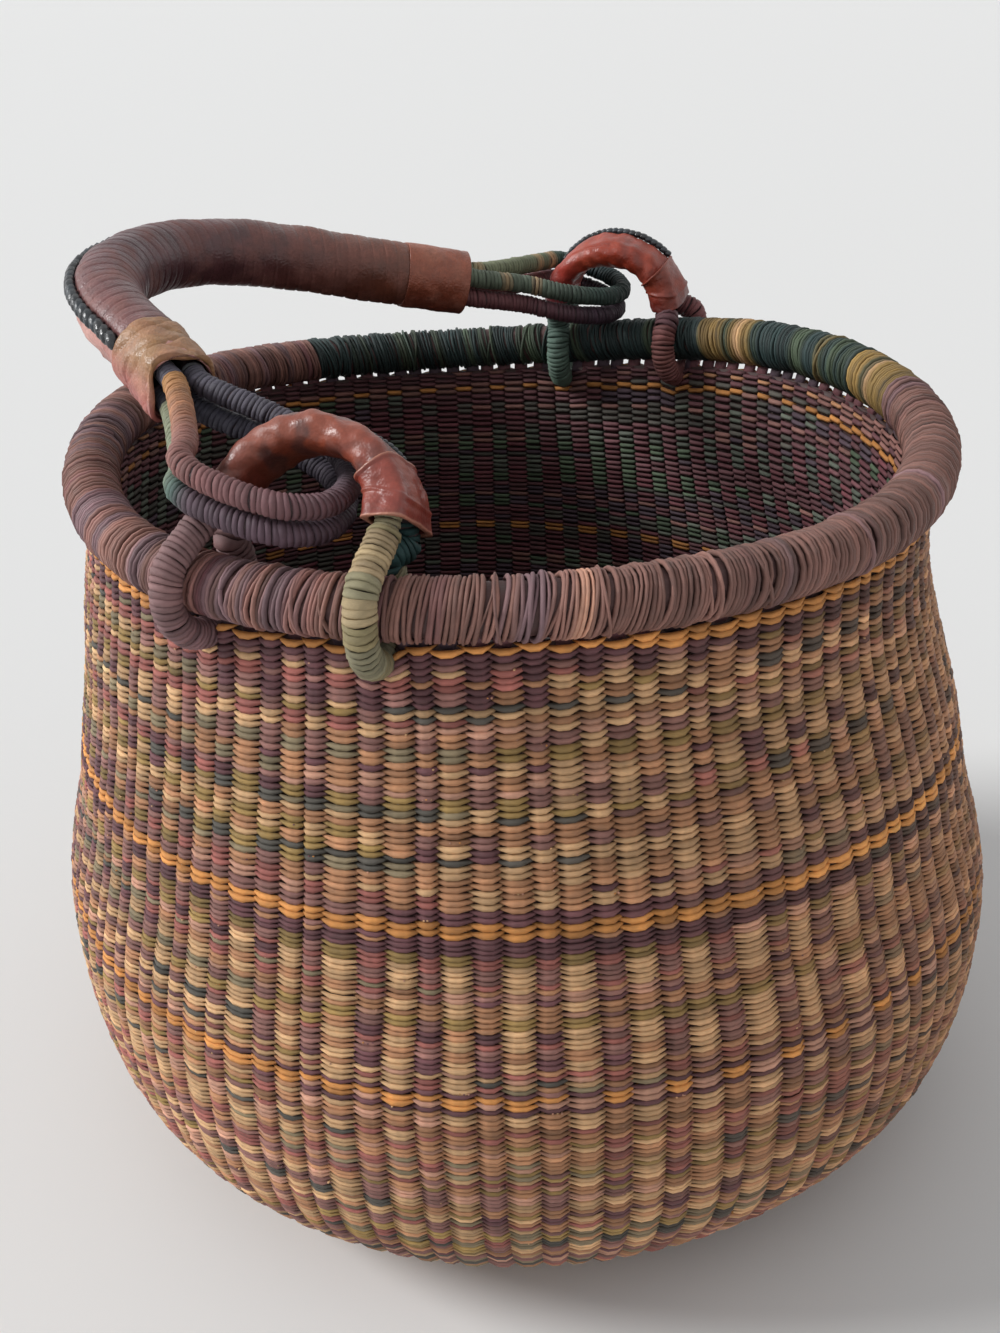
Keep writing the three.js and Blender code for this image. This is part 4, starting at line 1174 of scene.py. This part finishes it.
# Colours along each end loop, counted in the loop's points from its outer strand to its inner one.
handleLooks = {
    ("near", "upper"): [(0, "bd8b57"), (0.45, "b17d5c"), (0.9, "96695f"), (4, "845c5c"), (7, "6f5258"),
                        (9, "5c525c"), (14, "4f4c57")],
    ("near", "lower"): [(0, "8b8f74"), (1.6, "7f8b76"), (2.5, "4f6862"), (3.2, "5c4c55"), (6, "654f5a"),
                        (9, "4c414c"), (14, "3e3e4a")],
    ("far", "upper"): [(0, "83886b"), (0.8, "757c62"), (1.2, "55634f"), (2, "34463f"), (4, "25373a"),
                       (9, "34463f"), (13, "66705f")],
    ("far", "lower"): [(0, "7d4d48"), (1, "6f4142"), (2.5, "50343f"), (5, "352a36"), (9, "402e3a"),
                       (13, "704446")],
}
paleStreaks = {"odds": 0.16, "until": 1.4, "after": 11}  # on the far loop's upper rope, next to the grip
handleWinding = {"press": 0.28, "under": 1.1, "dye": 0.09, "hidden": (0.05, 0.95, 60), "within": 9.5,
                 "before": 4, "beyond": 5}


def handleHues(place, level):  # place is counted in the ring's points
    far, near = len(shape["loops"]["far"]), len(shape["loops"]["near"])
    alongFar, alongNear = place - (ringStrand - 1), ringStrand * 2 + far + near - place
    nearer = mixed(handleLooks["near", level], alongNear)
    further = mixed(handleLooks["far", level], alongFar)
    beside = (alongFar < paleStreaks["until"]) | (alongFar > paleStreaks["after"])
    further[(rng.random(len(place)) < paleStreaks["odds"]) & (level == "upper") & beside] = straws["straw"]
    atFar = (alongFar > -handleWinding["before"]) & (alongFar < far + handleWinding["beyond"])
    hues = blended(np.where(atFar[:, None], further, nearer), 1)
    return hues * rng.normal(1, handleWinding["dye"], (len(place), 1))


def windHandle():
    flat = ringLine()
    inGrip = np.linspace(*handleWinding["hidden"])
    middle = gripPlace(inGrip, 0.0, np.zeros(len(inGrip)))
    line = smoothLine(np.column_stack([flat, np.zeros(len(flat))]), closed=True, steps=ringSteps)
    for level, sign, slot in (("upper", 1, "rope_rose"), ("lower", -1, "rope_purple")):
        ring = handlePoint(line[:, 0], line[:, 1], np.full(len(line), sign * strandOffset))
        path = Path(ring, closed=True, start=handleBeside)
        where = np.arange(0, path.length, winding["pitch"])
        away = np.linalg.norm(path.at(where, path.points)[:, None] - middle[None], axis=2)
        where = where[away.min(1) > handleWinding["within"]]
        place = np.interp(where, path.lengths, np.arange(len(path.points)) / ringSteps)
        radius = shape["handleRope"] - winding["thick"] - handleWinding["press"]
        rope = "handle_rope_" + level
        wind("handle_winding_" + level, rope, path, {**winding, "where": where, "radius": radius},
             handleHues(place, level), body="handle")
        stem("handle_stems_" + level, rope, path, shape["handleRope"] - handleWinding["under"],
             body="handle")


windHandle()

bundleRadius = strandOffset * math.sqrt(2) + shape["handleRope"] + touch
gripBore = bundleRadius / math.cos(math.pi / 14)
gripOut = gripBore + 0.9
wrapOut = gripOut + touch + 1.1
gripCollarOut = gripOut + touch + 1.3
gripSpan = shape["gripEnd"] - shape["gripStart"]
collarSpan = 0.1 * gripSpan
wrapStart, wrapEnd = shape["gripStart"] + collarSpan, shape["gripEnd"] - collarSpan


def ridge(x, sharp):  # rounded turns with grooves between them
    return 1 - np.abs(2 * np.mod(x, 1) - 1) ** sharp


# Leather colours of the grip: along it from near to far, and from its underside to its top.
wrapLooks = [(-120, "7b5251"), (-90, "6c4545"), (-40, "503338"), (30, "543233"), (80, "673929"),
             (105, "733f2b")]
collarBy = {"near": [(-7, "a9625c"), (0, "a06a58"), (4, "9d7053"), (9, "99714c")],
            "far": [(-9, "7d3f2e"), (9, "8b4932")]}
lining = {"waves": [(8, 0.7, 4), (2.6, 0.4, 6)], "wrinkles": (95, 9, 3, 0.35), "wrinkleWave": (11, 4, 31),
          "sunk": 0.3, "shade": (9, 1.1, 17), "dark": "a0665d", "light": "c99389"}
liningCut = {"span": (shape["gripStart"], shape["gripEnd"], 170), "columns": 44, "radius": gripOut,
             "thick": 0.9}
# Brown strip: its turns have a slant, a pitch, a sharpness and a depth, and it is open along the lacing.
strip = {"rows": 640, "columns": 34, "edge": 1 / 14, "round": 10 / 14,
         "turns": [(10, 6.4, 6, 0.5), (7, 2.3, 3, 0.07)], "wave": (12, 0.7, 1), "sunk": 0.4,
         "lip": 0.8, "lipFrom": 4.8 / 14, "bore": 0.05, "shades": [(10, 0.3, 5), (3, 0.15, 8)]}
# Collars: the near one has creases that swing round it, with a swing, a phase, a pitch and a sharpness.
bands = {"near": {"waves": [(9, 1.1, 8), (3, 0.4, 3)], "creases": [(13, 0.6, 15, 10), (-11, 1.9, 17, 12)],
                  "deep": 0.95, "lift": -1.2},
         "far": {"waves": [(10, 0.6, 8), (3, 0.25, 3)], "creases": [], "deep": 0, "lift": 0.35},
         "rows": 70, "columns": 64, "thick": 1.6, "blend": (8, 4, 2), "shade": (5, 0.2, 7)}
flap = {"reach": 0.019, "way": 0.93, "sharp": 4, "squeeze": 2.4}
lacing = {"half": 4.3, "pitch": 5.4, "thick": 2.5, "wide": 2.9, "slant": 1.7}
lacingLine = {"points": 200, "high": 1.7}


def coverLining():
    def relief(rows, rounds, plain):
        along, round_, sharp, deep = lining["wrinkles"]
        phase = rows * along + rounds * round_ + bend(plain, lining["wrinkleWave"])
        wrinkles = deep * np.abs(np.sin(phase)) ** sharp
        return bend(plain, *lining["waves"]) + wrinkles - lining["sunk"]

    def hue(points):
        share = np.clip(0.5 + bend(points, lining["shade"]), 0, 1)[:, None]
        return tone(lining["dark"]) * (1 - share) + tone(lining["light"]) * share

    hide("grip_lining", "grip_sleeve", pinkLeather, hue, gripPlace, liningCut, relief,
         body="handle")


def wrapStrip():
    size = (strip["rows"], strip["columns"])
    share = np.linspace(wrapStart, wrapEnd, strip["rows"])[:, None]
    rounds = (strip["edge"] + np.linspace(0, strip["round"], strip["columns"]))[None]
    length = share * bundleLengths[-1]
    turns = sum(ridge((length - slant * rounds) / pitch, sharp) * deep
                for slant, pitch, sharp, deep in strip["turns"])
    plain = gripPlace(share, rounds, np.full(size, wrapOut))
    middle = strip["edge"] + strip["round"] / 2
    lip = -strip["lip"] * (np.abs(rounds - middle) > strip["lipFrom"])
    outer = gripPlace(share, rounds, wrapOut - strip["sunk"] + turns + bend(plain, strip["wave"]) + lip)
    inner = gripPlace(share, rounds[:, ::-1], np.full(size, gripOut + strip["bore"]))
    bm = skin(np.concatenate([outer, inner], axis=1))
    bmesh.ops.holes_fill(bm, edges=[e for e in bm.edges if e.is_boundary])
    piece = finished("grip_strip", meshFrom(bm, "grip_strip"), "handle", ["grip_wrap"],
                     wrapLeather)
    paint(piece, lambda p: mixed(wrapLooks, p[:, 1]) * (1 + bend(p, *strip["shades"]))[:, None])


def flapPlace(share, round_, radius):  # the near collar's free end is cut aslant to a flap
    free = np.clip((wrapStart - share) / collarSpan, 0, 1)
    pointed = np.maximum(0, np.cos((round_ - flap["way"]) * 2 * np.pi)) ** flap["sharp"]
    squeeze = free * flap["squeeze"] * (0.5 + 0.5 * np.cos(round_ * 8 * np.pi))
    return gripPlace(share - free * pointed * flap["reach"], round_, radius - squeeze)


def bandGrip(side, low, place):
    band = bands[side]

    def relief(rows, rounds, plain):
        length = rows * bundleLengths[-1]
        creases = sum(ridge((length + swing * np.sin(rounds * roundTurn + phase)) / pitch, sharp)
                      for swing, phase, pitch, sharp in band["creases"])
        return bend(plain, *band["waves"]) + band["deep"] * creases + band["lift"]

    def hue(points):
        beside = (points - (0, 0, shape["hinge"])) @ handleBeside
        shade = 1 + bend(points, bands["shade"])
        return mixed(collarBy[side], beside + bend(points, bands["blend"])) * shade[:, None]

    cut = {"span": (low, low + collarSpan, bands["rows"]), "columns": bands["columns"],
           "radius": gripCollarOut, "thick": bands["thick"]}
    hide("grip_band_" + side, "grip_collar_" + side, tanLeather, hue, place, cut, relief,
         body="handle")


def laceGrip():
    shares = np.linspace(wrapStart, wrapEnd, lacingLine["points"])
    beyond = strip["edge"] - (lacingLine["high"] + 2 * touch) / gripOut / (2 * math.pi)
    line = gripPlace(shares, beyond, np.full(len(shares), gripOut + lacingLine["high"] + touch))
    away = normal(gripPlace(shares[0], beyond, 9.0) - gripPlace(shares[0], 0.0, 0.0))
    beads("grip_braid", "grip_lacing", Path(line, start=away), lacing, body="handle")


coverLining()
wrapStrip()
bandGrip("near", shape["gripStart"], flapPlace)
bandGrip("far", wrapEnd, gripPlace)
laceGrip()
print("handle made")


# Studio: pale floor, soft light from the left, and the camera where the photograph was taken.
ground = {"half": 60, "height": -0.0016, "colour": (0.86, 0.86, 0.85, 1), "dull": 0.9}
sky = {"seen": (1, 1, 1, 1), "lit": (0.97, 0.98, 1, 1), "strength": 0.45}
# Lamps: where from, how strong, and how wide in degrees.
lamps = [("key", (-1, -0.4, 0.66), 2.5, 20), ("front", (0.3, -0.8, 1), 0.14, 60)]
# Camera: angles in radians, picture in pixels, place in millimetres, and its turn round Z in degrees.
view = {"yaw": -0.0015, "pitch": 0.4613, "roll": -0.0364, "focal": 1450, "picture": 1333, "film": 36,
        "place": (0, -641.39, 530.12), "turned": 23.5}


def placed(name, data):
    made = bpy.data.objects.new(name, data)
    bpy.context.scene.collection.objects.link(made)
    return made


def layGround():
    bm = bmesh.new()
    bmesh.ops.create_grid(bm, x_segments=1, y_segments=1, size=ground["half"])
    piece = placed("floor", meshFrom(bm, "floor"))
    piece.location = (0, 0, ground["height"])
    material, tree, shader = newMaterial("paleFloor")
    shader.inputs["Base Color"].default_value = ground["colour"]
    shader.inputs["Roughness"].default_value = ground["dull"]
    piece.data.materials.append(material)


def lightWorld():  # the camera and reflections see white, everything else is lit more dimly
    world = bpy.data.worlds.new("studio")
    world.use_nodes = True
    bpy.context.scene.world = world
    tree = world.node_tree
    shown = tree.nodes["Background"]
    lit = tree.nodes.new("ShaderNodeBackground")
    ray = tree.nodes.new("ShaderNodeLightPath")
    mix = tree.nodes.new("ShaderNodeMixShader")
    shown.inputs["Color"].default_value = sky["seen"]
    lit.inputs["Color"].default_value = sky["lit"]
    lit.inputs["Strength"].default_value = sky["strength"]
    seen = mathNode(tree, "MAXIMUM", ray.outputs["Is Camera Ray"], ray.outputs["Is Glossy Ray"])
    joined(tree, mathNode(tree, "MAXIMUM", seen, ray.outputs["Is Transmission Ray"]), mix.inputs[0])
    joined(tree, lit.outputs[0], mix.inputs[1])
    joined(tree, shown.outputs[0], mix.inputs[2])
    joined(tree, mix.outputs[0], tree.nodes["World Output"].inputs["Surface"])


def hangLamps():
    for name, way, power, soft in lamps:
        lamp = bpy.data.lights.new(name, "SUN")
        lamp.energy = power
        lamp.angle = math.radians(soft)
        placed(name, lamp).rotation_euler = Vector(way).to_track_quat("Z", "Y").to_euler()


def setCamera():
    yaw, pitch, roll = view["yaw"], view["pitch"], view["roll"]
    forward = Vector((math.sin(yaw) * math.cos(pitch), math.cos(yaw) * math.cos(pitch), -math.sin(pitch)))
    right = Vector((math.cos(yaw), -math.sin(yaw), 0))
    above = right.cross(forward)
    across = right * math.cos(roll) + above * math.sin(roll)
    upward = above * math.cos(roll) - right * math.sin(roll)
    lens = bpy.data.cameras.new("photograph")
    lens.sensor_width = view["film"]
    lens.lens = view["focal"] / view["picture"] * view["film"]
    camera = placed("photograph", lens)
    camera.matrix_world = (Matrix.Rotation(math.radians(view["turned"]), 4, "Z")
                           @ Matrix.Translation(Vector(view["place"]) * mm)
                           @ Matrix((across, upward, -forward)).transposed().to_4x4())
    bpy.context.scene.camera = camera
    bpy.context.scene.view_settings.view_transform = "Standard"


layGround()
lightWorld()
hangLamps()
setCamera()
